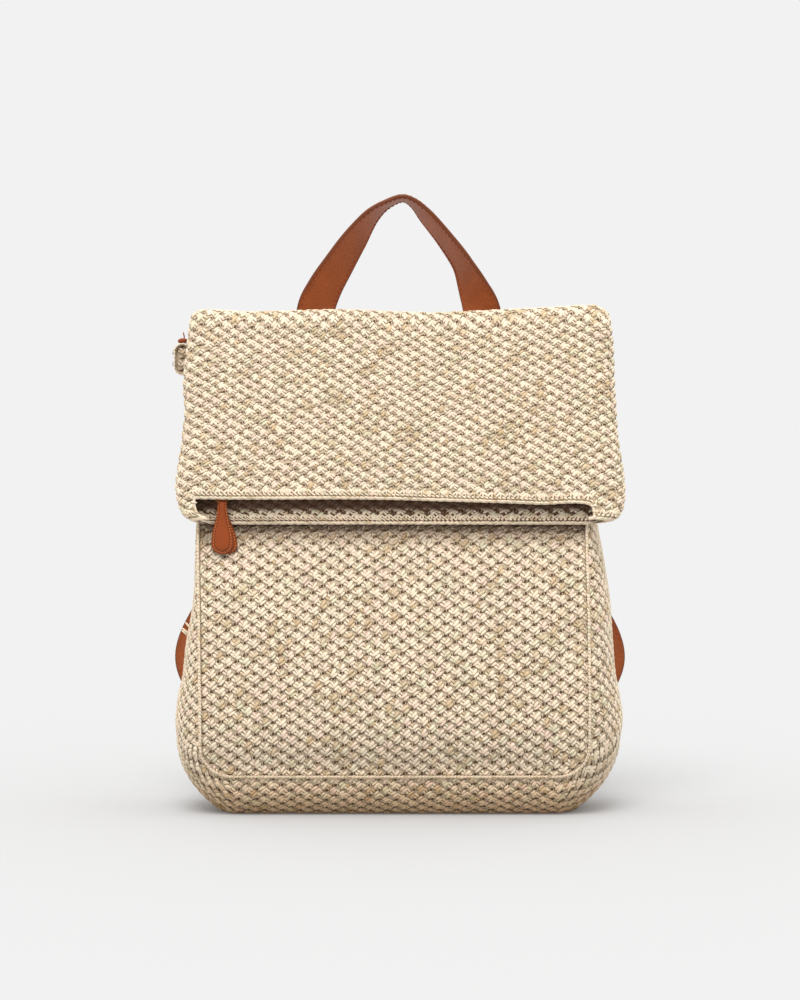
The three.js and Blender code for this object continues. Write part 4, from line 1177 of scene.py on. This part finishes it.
def ribbon_profile(width, thickness, border):
    """The cut through a leather ribbon: flat faces, a groove pressed in under each row of stitches, a
    slightly fuller middle and rounded edges. Gives across, height and how near each point is to an edge."""
    share = np.array([-1.0, -0.985, -0.93, -0.86, -1 + border * 2 / width, -0.6, -0.3, 0.0])
    share = np.concatenate([np.sort(share), -np.sort(share)[-2::-1]])
    groove = np.exp(-((np.abs(share) - (1 - border * 2 / width)) * width / 2 / 0.0007) ** 2)
    rounded = np.sqrt(np.clip(1 - ((np.abs(share) - 0.93) / 0.07).clip(0, 1) ** 2, 0, 1))
    height = thickness / 2 * ((0.9 + 0.1 * (1 - share**2)) * (0.3 + 0.7 * rounded)) - 0.0003 * groove
    edge = np.clip((np.abs(share) - 0.9) / 0.06, 0, 1)
    across = share * width / 2
    return (np.concatenate([across, across[::-1]]), np.concatenate([height, -height[::-1]]),
            np.concatenate([edge, edge]))


def add_ribbon(name, route, sides, width, thickness, replaced):
    """A leather ribbon along a route, with a row of stitches along both edges of both faces."""
    place, _, over, out, even = ribbon_frames(route, sides, 180)
    across, height, edge = ribbon_profile(width, thickness, BORDER)
    # The leather gives a little: its middle line waves by a fraction of a millimetre.
    wave = 0.00025 * np.sin(even * 95)[:, None]
    points = (place[:, None] + over[:, None] * across[None, :, None]
              + out[:, None] * (height[None] + wave * (1 - edge[None]))[..., None])
    piece = add_mesh(name, *rings(points[:, ::-1]), "leather", leather(), replaced)
    add_attribute(piece, "edge", np.tile(edge[::-1], len(place)))
    place, along, over, out, _ = ribbon_frames(route, sides, int(even[-1] / RIBBON_PITCH))
    pieces = []
    for edge_side in (-1, 1):
        for face in (-1, 1):
            seat = place + over * edge_side * (width / 2 - BORDER) + out * face * (thickness / 2 - 0.00025)
            pieces.append((seat[1:-1], along[1:-1], face * out[1:-1]))
    centres, ways, ups = (np.concatenate(part) for part in zip(*pieces))
    add_stitches(name + "_stitches", centres, ways, ups, 0.0024, 0.00034)


def add_stitches(name, centres, along, up, long, radius, material=None, slot="leather"):
    """Short spindles, of thread if nothing else is said, each arched along its own way and sunk at both
    ends."""
    stations, around = 4, 6
    s, angle = np.linspace(-1, 1, stations + 2), circle(around)
    fat = np.sqrt(1 - s**2) * radius
    over = np.cross(along, up)
    # Seen along the stitch the ring turns from up towards minus over, so that faces point out.
    ring = (up[:, None, None] * np.cos(angle)[None, None, :, None]
            - over[:, None, None] * np.sin(angle)[None, None, :, None]) * fat[None, :, None, None]
    spine = (centres[:, None] + along[:, None] * (s * long / 2)[None, :, None]
             + up[:, None] * (radius * 0.5 * (1 - 1.6 * s**2))[None, :, None])
    points = spindle_points(spine[:, :, None] + ring).reshape(-1, 3)
    return add_mesh(name, points, *spindle_faces(len(centres), stations, around), slot, material or thread())


def handle_route(form):
    """Stops of the handle's middle line and the way across it: up the back, round the arch, down the back."""
    bag = form.bag
    seat = bag.seat_gap + bag.handle_thickness / 2
    z = np.linspace(bag.height - bag.handle_tail, form.fold_height, 5)
    ends = [points_of(side * bag.handle_span / 2, form.back_at(side * bag.handle_span / 2, z) + seat, z)
            for side in (-1, 1)]
    across, rise, turn = HANDLE_ARCH.T
    arch = points_of(across * bag.handle_span / 2, ends[0][-1, 1] - bag.handle_return * rise,
                     bag.height + rise * bag.handle_rise)
    ahead = np.concatenate([arch[1:], arch[-1:]]) - np.concatenate([arch[:1], arch[:-1]])
    flat = unit(np.cross([0.0, 1.0, 0.0], unit(ahead)))
    angle = (QUARTER * turn)[:, None]
    turned = flat * np.cos(angle) + np.array([0.0, 1.0, 0.0]) * np.sin(angle)
    level = np.tile([1.0, 0.0, 0.0], (5, 1))
    return (np.concatenate([ends[0], arch, ends[1][::-1]]), np.concatenate([level, turned, -level]))


def strap_route(form, side):
    """Stops of a shoulder strap's middle line and the way across it, level with the back where it is sewn."""
    bag = form.bag
    across, height, stand = STRAP_ROUTE.T
    x, z = side * across * form.seam_half, height * form.neck_height
    seat = bag.seat_gap + bag.strap_thickness / 2
    route = points_of(x, form.back_at(x, z) + seat + bag.strap_stand * stand, z)
    ahead = np.concatenate([route[1:], route[-1:]]) - np.concatenate([route[:1], route[:-1]])
    sides = unit(np.cross([0.0, 1.0, 0.0], ahead))
    step = bag.wall
    slope = (form.back_at(x + sides[:, 0] * step, z + sides[:, 2] * step)
             - form.back_at(x - sides[:, 0] * step, z - sides[:, 2] * step)) / (2 * step)
    sides[:, 1] = slope * (1 - stand)
    return route, sides


def dress_straw(piece, tone, lift, strand):
    """The attributes and the map that the straw's material reads, for a piece that isn't laid by strands."""
    add_attribute(piece, "tone", tone)
    add_attribute(piece, "lift", lift)
    add_map(piece, "Strand", strand)


def tube_rings(centre, out, radius, angle):
    """Rings round a line: out turned round the way along it, with a radius at each place and angle."""
    over = unit(np.cross(unit(np.gradient(centre, axis=0)), out))
    ring = out[:, None] * np.cos(angle)[None, :, None] - over[:, None] * np.sin(angle)[None, :, None]
    return centre[:, None] + ring * radius[..., None]


def add_welt():
    """The raised seam round the front panel: a core cord, oversewn with slanting straws every 2.3 mm."""
    form = BagForm(bpy.context.scene.straw_bag)
    bag = form.bag
    reach = form.seam_length / 2 - 0.001
    u = np.linspace(-reach, reach, 700)
    edge = form.gusset_half(u)
    seam = form.gusset_cloth(u, -edge)
    gusset_out = surface_normal(form.gusset_cloth, u, -edge + 0.002)
    front, _, _, _ = form.seam(u)
    half, _ = form.panel_half(front[:, 2])
    x = np.clip(front[:, 0] - form.section(front[:, 2])[2], -half + 0.001, half - 0.001)
    panel_out = surface_normal(form.front_cloth, x, np.maximum(front[:, 2], bag.seam_height + 0.002))
    out = unit(gusset_out + panel_out)
    centre = seam + out * (bag.gap + bag.welt_radius - 0.0008)
    angle = circle(6)
    core = 0.7 * bag.welt_radius
    tube = rings(tube_rings(centre, out, core + 0 * u[:, None] * angle, angle))
    piece = add_mesh("seam_core", *tube, "straw", straw(), ["front_welt"])
    around = np.tile(angle * core, len(u))
    # Painted shade: a low lift darkens the core under its oversewn straws.
    dress_straw(piece, 0.1 + 0 * around, 0.4 + 0 * around, np.stack([np.repeat(u, 6), around], axis=-1))

    def ridge(along, around):
        place, way = sample(along, u, centre), sample(along, u, out)
        ahead = sample(along + NORMAL_STEP, u, centre) - sample(along - NORMAL_STEP, u, centre)
        over = unit(np.cross(ahead, way))
        turn = (around / bag.welt_radius)[..., None]
        return place + bag.welt_radius * (way * np.cos(turn) - over * np.sin(turn))

    stops = np.arange(-reach + 0.002, reach - 0.002, 0.0023)
    groups = []
    for across, lean in ((-0.0005, 24), (0.0008, 32)):
        kind = StrandKind(0.0040, 0.0014, -0.0006, 0.0003, lean, 0, 0, 0.0001, 0.6)
        groups.append((kind, np.stack([stops, across + 0 * stops], axis=-1)))
    add_strands("seam_cord", ridge, groups, 51, scatter=0.14)


def add_roll(name, cloth, edge, reach, seed):
    """The rolled core of a turned edge, a cord that swells at every stitch."""
    bag, around = bpy.context.scene.straw_bag, 8
    u = np.linspace(-reach, reach, 4000)
    middle = -bag.wall / 2 - 0.0001
    v = edge(u) - 0.0007
    steps = running(np.stack([u, v], axis=-1))
    u = np.interp(np.linspace(0, steps[-1], 520), steps, u)
    v = edge(u) - 0.0007
    swell = np.abs(np.sin(u * np.pi / STITCH + seed)) ** 0.6
    angle = circle(around)
    points = tube_rings(lay(cloth, u, v, middle + 0 * u), surface_normal(cloth, u, v - 0.002),
                        (0.00075 + 0.0003 * swell)[:, None] + 0 * angle, angle)
    piece = add_mesh(name, *rings(points), "straw", straw())
    tone = 0.08 + 0.5 * np.random.default_rng(seed).random(200)[((u + reach) / STITCH).astype(int)]
    strand = np.stack([np.repeat(u, around), np.tile(angle * 0.001, len(u))], axis=-1)
    # Painted shade: a low lift darkens the roll, most between the stitches.
    dress_straw(piece, np.repeat(tone, around), np.repeat(0.25 + 0.35 * swell, around), strand)


def add_zip():
    """The zip between the two layers at the mouth: a tape that sags across, and two rows of metal teeth."""
    form = BagForm(bpy.context.scene.straw_bag)
    bag = form.bag
    distance = form.tube_length - bag.hem_step - bag.zip_inset
    x, t = np.meshgrid(np.linspace(-bag.zip_width / 2, bag.zip_width / 2, 140), np.linspace(-1, 1, 11))
    _, _, out_y, out_z, _ = form.fold_line(np.array(distance))
    out, way = np.array([0, out_y, out_z]), np.array([0, -out_z, out_y])
    half = bag.mouth_depth / 2 - bag.wall - bag.gap
    sag = (bag.zip_tape * (0.2 * (1 - t**2) - 0.1))[..., None] * way
    middle = form.tube(0, x, distance) + out * (t * half)[..., None] + sag
    wall = shell(middle + way * bag.zip_tape / 2.4, middle - way * bag.zip_tape / 2.4)
    add_mesh("zip_tape_twill", *wall, "zip_cloth", material_of("zip_twill", tape_material), ["zip_tape"])
    stops = np.arange(-bag.zip_width / 2 + 0.004, bag.zip_width / 2 - 0.004, 0.0021)
    for name, side in (("front", 1), ("back", -1)):
        places = stops + side * 0.0005
        centres = form.tube(0, places, distance) + way * (bag.zip_tape / 2 + 0.0002) + out * side * 0.0011
        ways = np.tile(out, (len(places), 1))
        add_stitches(f"zip_teeth_{name}", centres, ways, np.tile(way, (len(places), 1)), 0.0024, 0.0006,
                     material_of("antiqued_brass", brass_material), "zip_metal")


def teardrop(bag, inset, rise=0.0, count=18):
    """Outline of the pull, run anticlockwise from its narrow top, which may rise past the cut end: two Bezier
    sides and a half circle between."""
    round_half = bag.pull_width / 2 - inset
    top, low = bag.pull_top / 2 - inset / 2, -bag.pull_length + inset + round_half
    t = np.linspace(0, 1, count)
    weights = np.stack([(1 - t) ** 3, 3 * t * (1 - t) ** 2, 3 * t**2 * (1 - t), t**3], axis=-1)
    side = weights @ np.array([[-top, rise - inset], [-top, low / 2], [-round_half, low / 1.7],
                               [-round_half, low]])
    turn = np.linspace(np.pi, 2 * np.pi, 2 * count)[1:-1]
    arc = np.stack([round_half * np.cos(turn), low + round_half * np.sin(turn)], axis=-1)
    return np.concatenate([side, arc, side[::-1] * [-1, 1]])


# Cuts through the pull's leather from the back's edge to the front: inset in mm, share of the thickness, and
# how dark the edge is. The flat layers have a groove for the stitches, and the pad swells.
LAYER_CUT = [(0.5, 0.0, 0.6), (0.12, 0.06, 1.0), (0.0, 0.3, 1.0), (0.0, 0.7, 1.0), (0.12, 0.94, 1.0),
             (0.45, 1.0, 0.4), (1.05, 1.0, 0.0), (1.3, 0.82, 0.35), (1.65, 0.82, 0.35), (1.9, 1.0, 0.0),
             (2.6, 1.0, 0.0)]
PAD_CUT = [(2.2, 0.0, 0.7), (2.25, 0.4, 0.5), (2.6, 0.8, 0.1), (3.2, 1.1, 0.0), (4.2, 1.35, 0.0),
           (5.6, 1.45, 0.0)]


def add_pull():
    """The zip pull: two flat layers of leather, one hanging to the right behind the other, a padded middle
    and a row of stitches in the groove round each layer."""
    bag, colours = bpy.context.scene.straw_bag, bpy.context.scene.straw_bag_colours
    # Each layer: names, cut, thickness, border, how far its top rises before the slider, how far it swings.
    layers = [("pull_back_layer", "zip_pull_back", LAYER_CUT, bag.pull_layer, 0.0, 0.0, 0.0035),
              ("pull_front_layer", "zip_pull_front", LAYER_CUT, bag.pull_layer, 0.0, 0.004, 0.0),
              ("pull_padding", "zip_pull_pad", PAD_CUT, bag.pull_pad, bag.pull_border, 0.004, 0.0)]
    for name, node, cut, thick, inset, rise, swing in layers:
        low, high = (np.array(corner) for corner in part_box(node))
        centre = np.array([(low[0] + high[0]) / 2, high[1], high[2] + inset])
        cut = np.array(cut)
        flat = np.stack([teardrop(bag, step * MM, rise) for step in cut[:, 0]])
        flat[..., 0] -= swing * (1 + 1.15 * flat[..., 1] / bag.pull_length)
        # The leather curls: its middle lies a little deeper than its edges, and its tip comes forward.
        curl = PULL_CURL * flat[..., 0] ** 2 - PULL_TIP * (flat[..., 1] / bag.pull_length) ** 2
        ring = centre + np.stack([flat[..., 0], -curl - (cut[:, 1] * thick)[:, None], flat[..., 1]], axis=-1)
        piece = add_mesh(name, *rings(ring), "leather", pull_leather(), [node])
        add_attribute(piece, "edge", np.repeat(cut[:, 2], flat.shape[1]))
        if inset:
            continue
        groove = teardrop(bag, 0.00148, rise, 60)
        groove[:, 0] -= swing * (1 + 1.15 * groove[:, 1] / bag.pull_length)
        steps = running(groove)
        x, z = sample(np.arange(0.001, steps[-1] - 0.001, PULL_PITCH), steps, groove).T
        curl = PULL_CURL * x**2 - PULL_TIP * (z / bag.pull_length) ** 2
        seat = centre + points_of(x, -thick * 0.9 - curl, z)
        ways, ups = unit(np.gradient(seat, axis=0)), np.tile([0.0, -1.0, 0.0], (len(seat), 1))
        pale = material_of("waxed_pull_thread", thread_material, "waxed_pull_thread", colours.thread_pale)
        add_stitches(name.replace("layer", "stitches"), seat, ways, ups, 0.0017, 0.0003, pale)


def add_tab():
    """The woven tab, a flattened ring that stands off the left edge, its scrap of leather and a thread."""
    bag, weave = bpy.context.scene.straw_bag, bpy.context.scene.straw_bag_weave
    low, high = (np.array(corner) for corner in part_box("side_tab"))
    centre, radius = (low + high) / 2, bag.tab_width / 2
    straight, deep = bag.tab_height - bag.tab_width, bag.tab_depth / 2
    arc = np.pi * radius

    def ring(u, v, sunk=0.0):
        """u runs anticlockwise from the foot of the right side, seen from the front, and v to the front."""
        u = u % (2 * (straight + arc))
        turn = (np.clip((u - straight) / radius, 0, np.pi)
                + np.clip((u - 2 * straight - arc) / radius, 0, np.pi))
        up = np.clip(u, 0, straight) - np.clip(u - straight - arc, 0, straight) - straight / 2
        return centre + points_of((radius - sunk) * np.cos(turn), -v, up + (radius - sunk) * np.sin(turn))

    around = 2 * (straight + arc)
    u, v = np.meshgrid(np.linspace(0, around, 73)[:-1], np.linspace(-deep, deep, 9))
    add_ground("side_tab_ground", ring(u, v, weave.relief), ring(u, v, bag.tab_wall),
               cells_at(weave, u, v, weave.body_row), 0.8, ["side_tab"], wrap=True)

    def keep(u, v):
        return (np.abs(v) < deep - 0.002) & (u > 0) & (u < around)

    def clamp(u, v):
        return u, np.clip(v, -deep + END_INSET, deep - END_INSET)

    add_weave("side_tab_straw", ring, weave.body_row, (0, -deep), (around, deep), keep, clamp, 61)
    for name, way in (("front", -1), ("back", 1)):
        def face(x, z, sunk=0.0):
            """The folded end of the tab, crowned: deep (1 - 0.16 of the distance out squared)."""
            past = np.maximum(0, np.abs(z) - straight / 2)
            off = np.clip(np.hypot(x, past) / radius, 0, 1)
            return centre + points_of(-way * x, way * (deep * (1 - 0.16 * off**2) - sunk), z)

        angle, share = np.meshgrid(2 * np.pi * np.arange(41) / 40, np.linspace(0.02, 0.99, 8))
        x = radius * share * np.cos(angle)
        z = share * (radius * np.sin(angle) + straight / 2 * np.tanh(4 * np.sin(angle)))
        add_ground(f"tab_{name}_ground", face(x, z, weave.relief)[::-1], face(x, z, bag.tab_wall)[::-1],
                   cells_at(weave, x, z, weave.body_row)[::-1], 0.5, [])

        def keep_face(x, z):
            return np.hypot(x, np.maximum(0, np.abs(z) - straight / 2)) < radius - 0.001

        add_weave(f"tab_{name}_straw", face, weave.body_row, (-radius, -2 * radius), (radius, 2 * radius),
                  keep_face, None, 64 + way)
    stops, groups = np.arange(0, around, 0.0026), []
    for lean, inset in ((20, 0.0013), (-24, 0.0024), (14, -0.0003)):
        kind = StrandKind(0.0042, 0.0017, -weave.relief, 0.0001, lean, 0, 0, 0, 0.5)
        groups += [(kind, np.stack([stops, way * (deep - inset) + 0 * stops], axis=-1)) for way in (-1, 1)]
    add_strands("side_tab_rim", ring, groups, 62)
    low, high = (np.array(corner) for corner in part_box("tab_trim"))
    # The scrap: a rounded strip, its cut a superellipse, bent over the tab's top and curling at its ends.
    bend, cut = np.linspace(-1, 1, 17), circle(20)
    square = [np.sign(wave) * np.abs(wave) ** power
              for wave, power in ((np.cos(cut), 0.6), (np.sin(cut), 0.45))]
    full = (1 - 0.5 * np.abs(bend) ** 4)[:, None]
    middle, size = (low + high) / 2, (high - low) / 2
    lift = size[2] * (0.2 * np.cos(2.6 * bend[:, None]) + 0.8 * full * square[0]) - 0.0004
    across = -size[0] * bend[:, None] * (0.94 + 0.04 * square[0])
    points = middle + points_of(across, size[1] * full * square[1], lift)
    piece = add_mesh("tab_scrap", *rings(points), "leather", pull_leather(), ["tab_trim"])
    add_attribute(piece, "edge", np.repeat(0.8 * np.abs(bend) ** 6, len(cut)))
    tip = middle + np.array([0.0006, 0.0, size[2] + 0.0014])
    add_stitches("tab_thread_end", tip[None], unit(np.array([[-0.2, 0.0, 1.0]])),
                 np.array([[0.0, -1.0, 0.0]]), 0.0052, 0.0005)


def add_loose_straw():
    """A few ends of straw that stand off the left gusset beside the strap."""
    form = BagForm(bpy.context.scene.straw_bag)
    u = form.seam_length / 2 - form.neck_height + np.array([0.1135, 0.1150, 0.118])
    seat = form.gusset_cloth(u, np.array([0.014, 0.012, 0.017]))
    ways = unit(np.array([[-0.8, 0.1, 0.6], [-0.75, -0.1, 0.66], [-0.7, 0.2, 0.72]]))
    piece = add_stitches("loose_straw", seat + ways * 0.003, ways, np.tile([0.0, -1.0, 0.0], (3, 1)), 0.0105,
                         0.0009, straw())
    count = len(piece.data.vertices)
    at = np.arange(count) / count
    dress_straw(piece, 0.36 + 0 * at, 1.0 + 0 * at, np.stack([at * 0.01, at * 0.002], axis=-1))


class STRAWBAG_OT_stage(bpy.types.Operator):
    """Make the floor, the lights and the camera"""
    bl_idname = "straw_bag.stage"
    bl_label = "Stage"

    def execute(self, context):
        scene = context.scene
        corners = FLOOR_HALF * np.array([[-1, -1, 0], [1, -1, 0], [1, 1, 0], [-1, 1, 0]])
        mesh = bpy.data.meshes.new("studio_floor")
        mesh.from_pydata(corners.tolist(), [], [(0, 1, 2, 3)])
        floor = bpy.data.objects.new("studio_floor", mesh)
        mesh.materials.append(floor_material())
        scene.collection.objects.link(floor)
        world = bpy.data.worlds.new("studio_light")
        world.use_nodes = True
        tree = world.node_tree
        # A plain pale studio, with a wide soft box overhead that fades in above 20 degrees.
        way = add_node(tree, "ShaderNodeTexCoord").outputs["Generated"]
        up = add_node(tree, "ShaderNodeSeparateXYZ", {0: way}).outputs[2]
        light = ranged(tree, up, 0.35, 0.8, WALL_LIGHT, TOP_LIGHT, interpolation_type="SMOOTHSTEP")
        background = tree.nodes["Background"]
        background.inputs["Color"].default_value = (1, 1, 1, 1)
        tree.links.new(light, background.inputs["Strength"])
        scene.world = world
        lamp = bpy.data.lights.new("soft_key", "SUN")
        lamp.energy, lamp.angle = 1.95, 0.5
        key = bpy.data.objects.new("soft_key", lamp)
        key.rotation_euler = (np.radians(35), 0, np.radians(-8))
        scene.collection.objects.link(key)
        camera_data = bpy.data.cameras.new("camera")
        camera_data.sensor_fit, camera_data.sensor_height = "VERTICAL", SENSOR
        camera = bpy.data.objects.new("camera", camera_data)
        camera_data.lens = SENSOR * CAMERA_DISTANCE / VIEW_HEIGHT
        camera.location = (0, -CAMERA_DISTANCE * np.cos(CAMERA_TILT),
                           CAMERA_AIM + CAMERA_DISTANCE * np.sin(CAMERA_TILT))
        camera.rotation_euler = (QUARTER - CAMERA_TILT, 0, 0)
        scene.collection.objects.link(camera)
        scene.camera = camera
        scene.view_settings.view_transform = "Standard"
        return {"FINISHED"}


class STRAWBAG_OT_panels(bpy.types.Operator):
    """Weave the front and back panels"""
    bl_idname = "straw_bag.panels"
    bl_label = "Panels"

    def execute(self, context):
        add_panel(-1)
        add_panel(1)
        return {"FINISHED"}


class STRAWBAG_OT_gusset(bpy.types.Operator):
    """Weave the gusset and lay the seam cord"""
    bl_idname = "straw_bag.gusset"
    bl_label = "Gusset"

    def execute(self, context):
        add_gusset()
        add_welt()
        return {"FINISHED"}


class STRAWBAG_OT_folded_top(bpy.types.Operator):
    """Weave the folded top and turn its edges"""
    bl_idname = "straw_bag.folded_top"
    bl_label = "Folded Top"

    def execute(self, context):
        form = BagForm(context.scene.straw_bag)
        add_folded_top()
        side = form.flat_half + form.cap_arc
        add_roll("flap_roll", form.flap_cloth, form.flap_edge, side, 41)
        add_roll("lining_roll", form.lining_cloth, form.lining_edge, side, 42)
        return {"FINISHED"}


class STRAWBAG_OT_leather(bpy.types.Operator):
    """Make the leather handle and shoulder straps with their stitching"""
    bl_idname = "straw_bag.leather"
    bl_label = "Handle and Straps"

    def execute(self, context):
        form = BagForm(context.scene.straw_bag)
        bag = form.bag
        add_ribbon("carry_handle", *handle_route(form), bag.handle_width, bag.handle_thickness, ["handle"])
        for name, side in (("left", -1), ("right", 1)):
            route, sides = strap_route(form, side)
            add_ribbon(f"shoulder_strap_{name}", route, sides, bag.strap_width, bag.strap_thickness,
                       [f"strap_{name}"])
        return {"FINISHED"}


class STRAWBAG_OT_zip(bpy.types.Operator):
    """Make the zip with its teeth and its leather pull"""
    bl_idname = "straw_bag.zip"
    bl_label = "Zip and Pull"

    def execute(self, context):
        add_zip()
        add_pull()
        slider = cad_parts["zip_slider"]
        slider.data.materials.clear()
        slider.data.materials.append(material_of("antiqued_brass", brass_material))
        return {"FINISHED"}


class STRAWBAG_OT_tab(bpy.types.Operator):
    """Weave the side tab, bend its scrap of leather and lay the loose ends"""
    bl_idname = "straw_bag.tab"
    bl_label = "Tab and Loose Ends"

    def execute(self, context):
        add_tab()
        add_loose_straw()
        return {"FINISHED"}


class STRAWBAG_PT_sidebar(bpy.types.Panel):
    """Sizes, colours and pieces of the backpack"""
    bl_idname = "STRAWBAG_PT_sidebar"
    bl_label = "Straw Backpack"
    bl_space_type = "VIEW_3D"
    bl_region_type = "UI"
    bl_category = "Straw Backpack"

    def draw(self, context):
        for operator in OPERATORS:
            self.layout.operator(operator.bl_idname)
        for group in (getattr(context.scene, name) for name in GROUPS):
            column = self.layout.column()
            for name in group.bl_rna.properties.keys():
                if name not in ("rna_type", "name"):
                    column.prop(group, name)


OPERATORS = (
    STRAWBAG_OT_stage,
    STRAWBAG_OT_panels,
    STRAWBAG_OT_gusset,
    STRAWBAG_OT_folded_top,
    STRAWBAG_OT_leather,
    STRAWBAG_OT_zip,
    STRAWBAG_OT_tab,
)
GROUPS = {"straw_bag": StrawBagSizes, "straw_bag_weave": StrawBagWeave, "straw_bag_colours": StrawBagColours}


def register():
    for group in GROUPS.values():
        bpy.utils.register_class(group)
    for name, group in GROUPS.items():
        setattr(bpy.types.Scene, name, PointerProperty(type=group))
    for operator in (*OPERATORS, STRAWBAG_PT_sidebar):
        bpy.utils.register_class(operator)


def unregister():
    for operator in reversed((*OPERATORS, STRAWBAG_PT_sidebar)):
        bpy.utils.unregister_class(operator)
    for name, group in reversed(GROUPS.items()):
        delattr(bpy.types.Scene, name)
        bpy.utils.unregister_class(group)


def main():
    register()
    bpy.ops.straw_bag.stage()
    bpy.ops.straw_bag.panels()
    bpy.ops.straw_bag.gusset()
    bpy.ops.straw_bag.folded_top()
    bpy.ops.straw_bag.leather()
    bpy.ops.straw_bag.zip()
    bpy.ops.straw_bag.tab()
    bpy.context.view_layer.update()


if __name__ == "__main__":
    main()
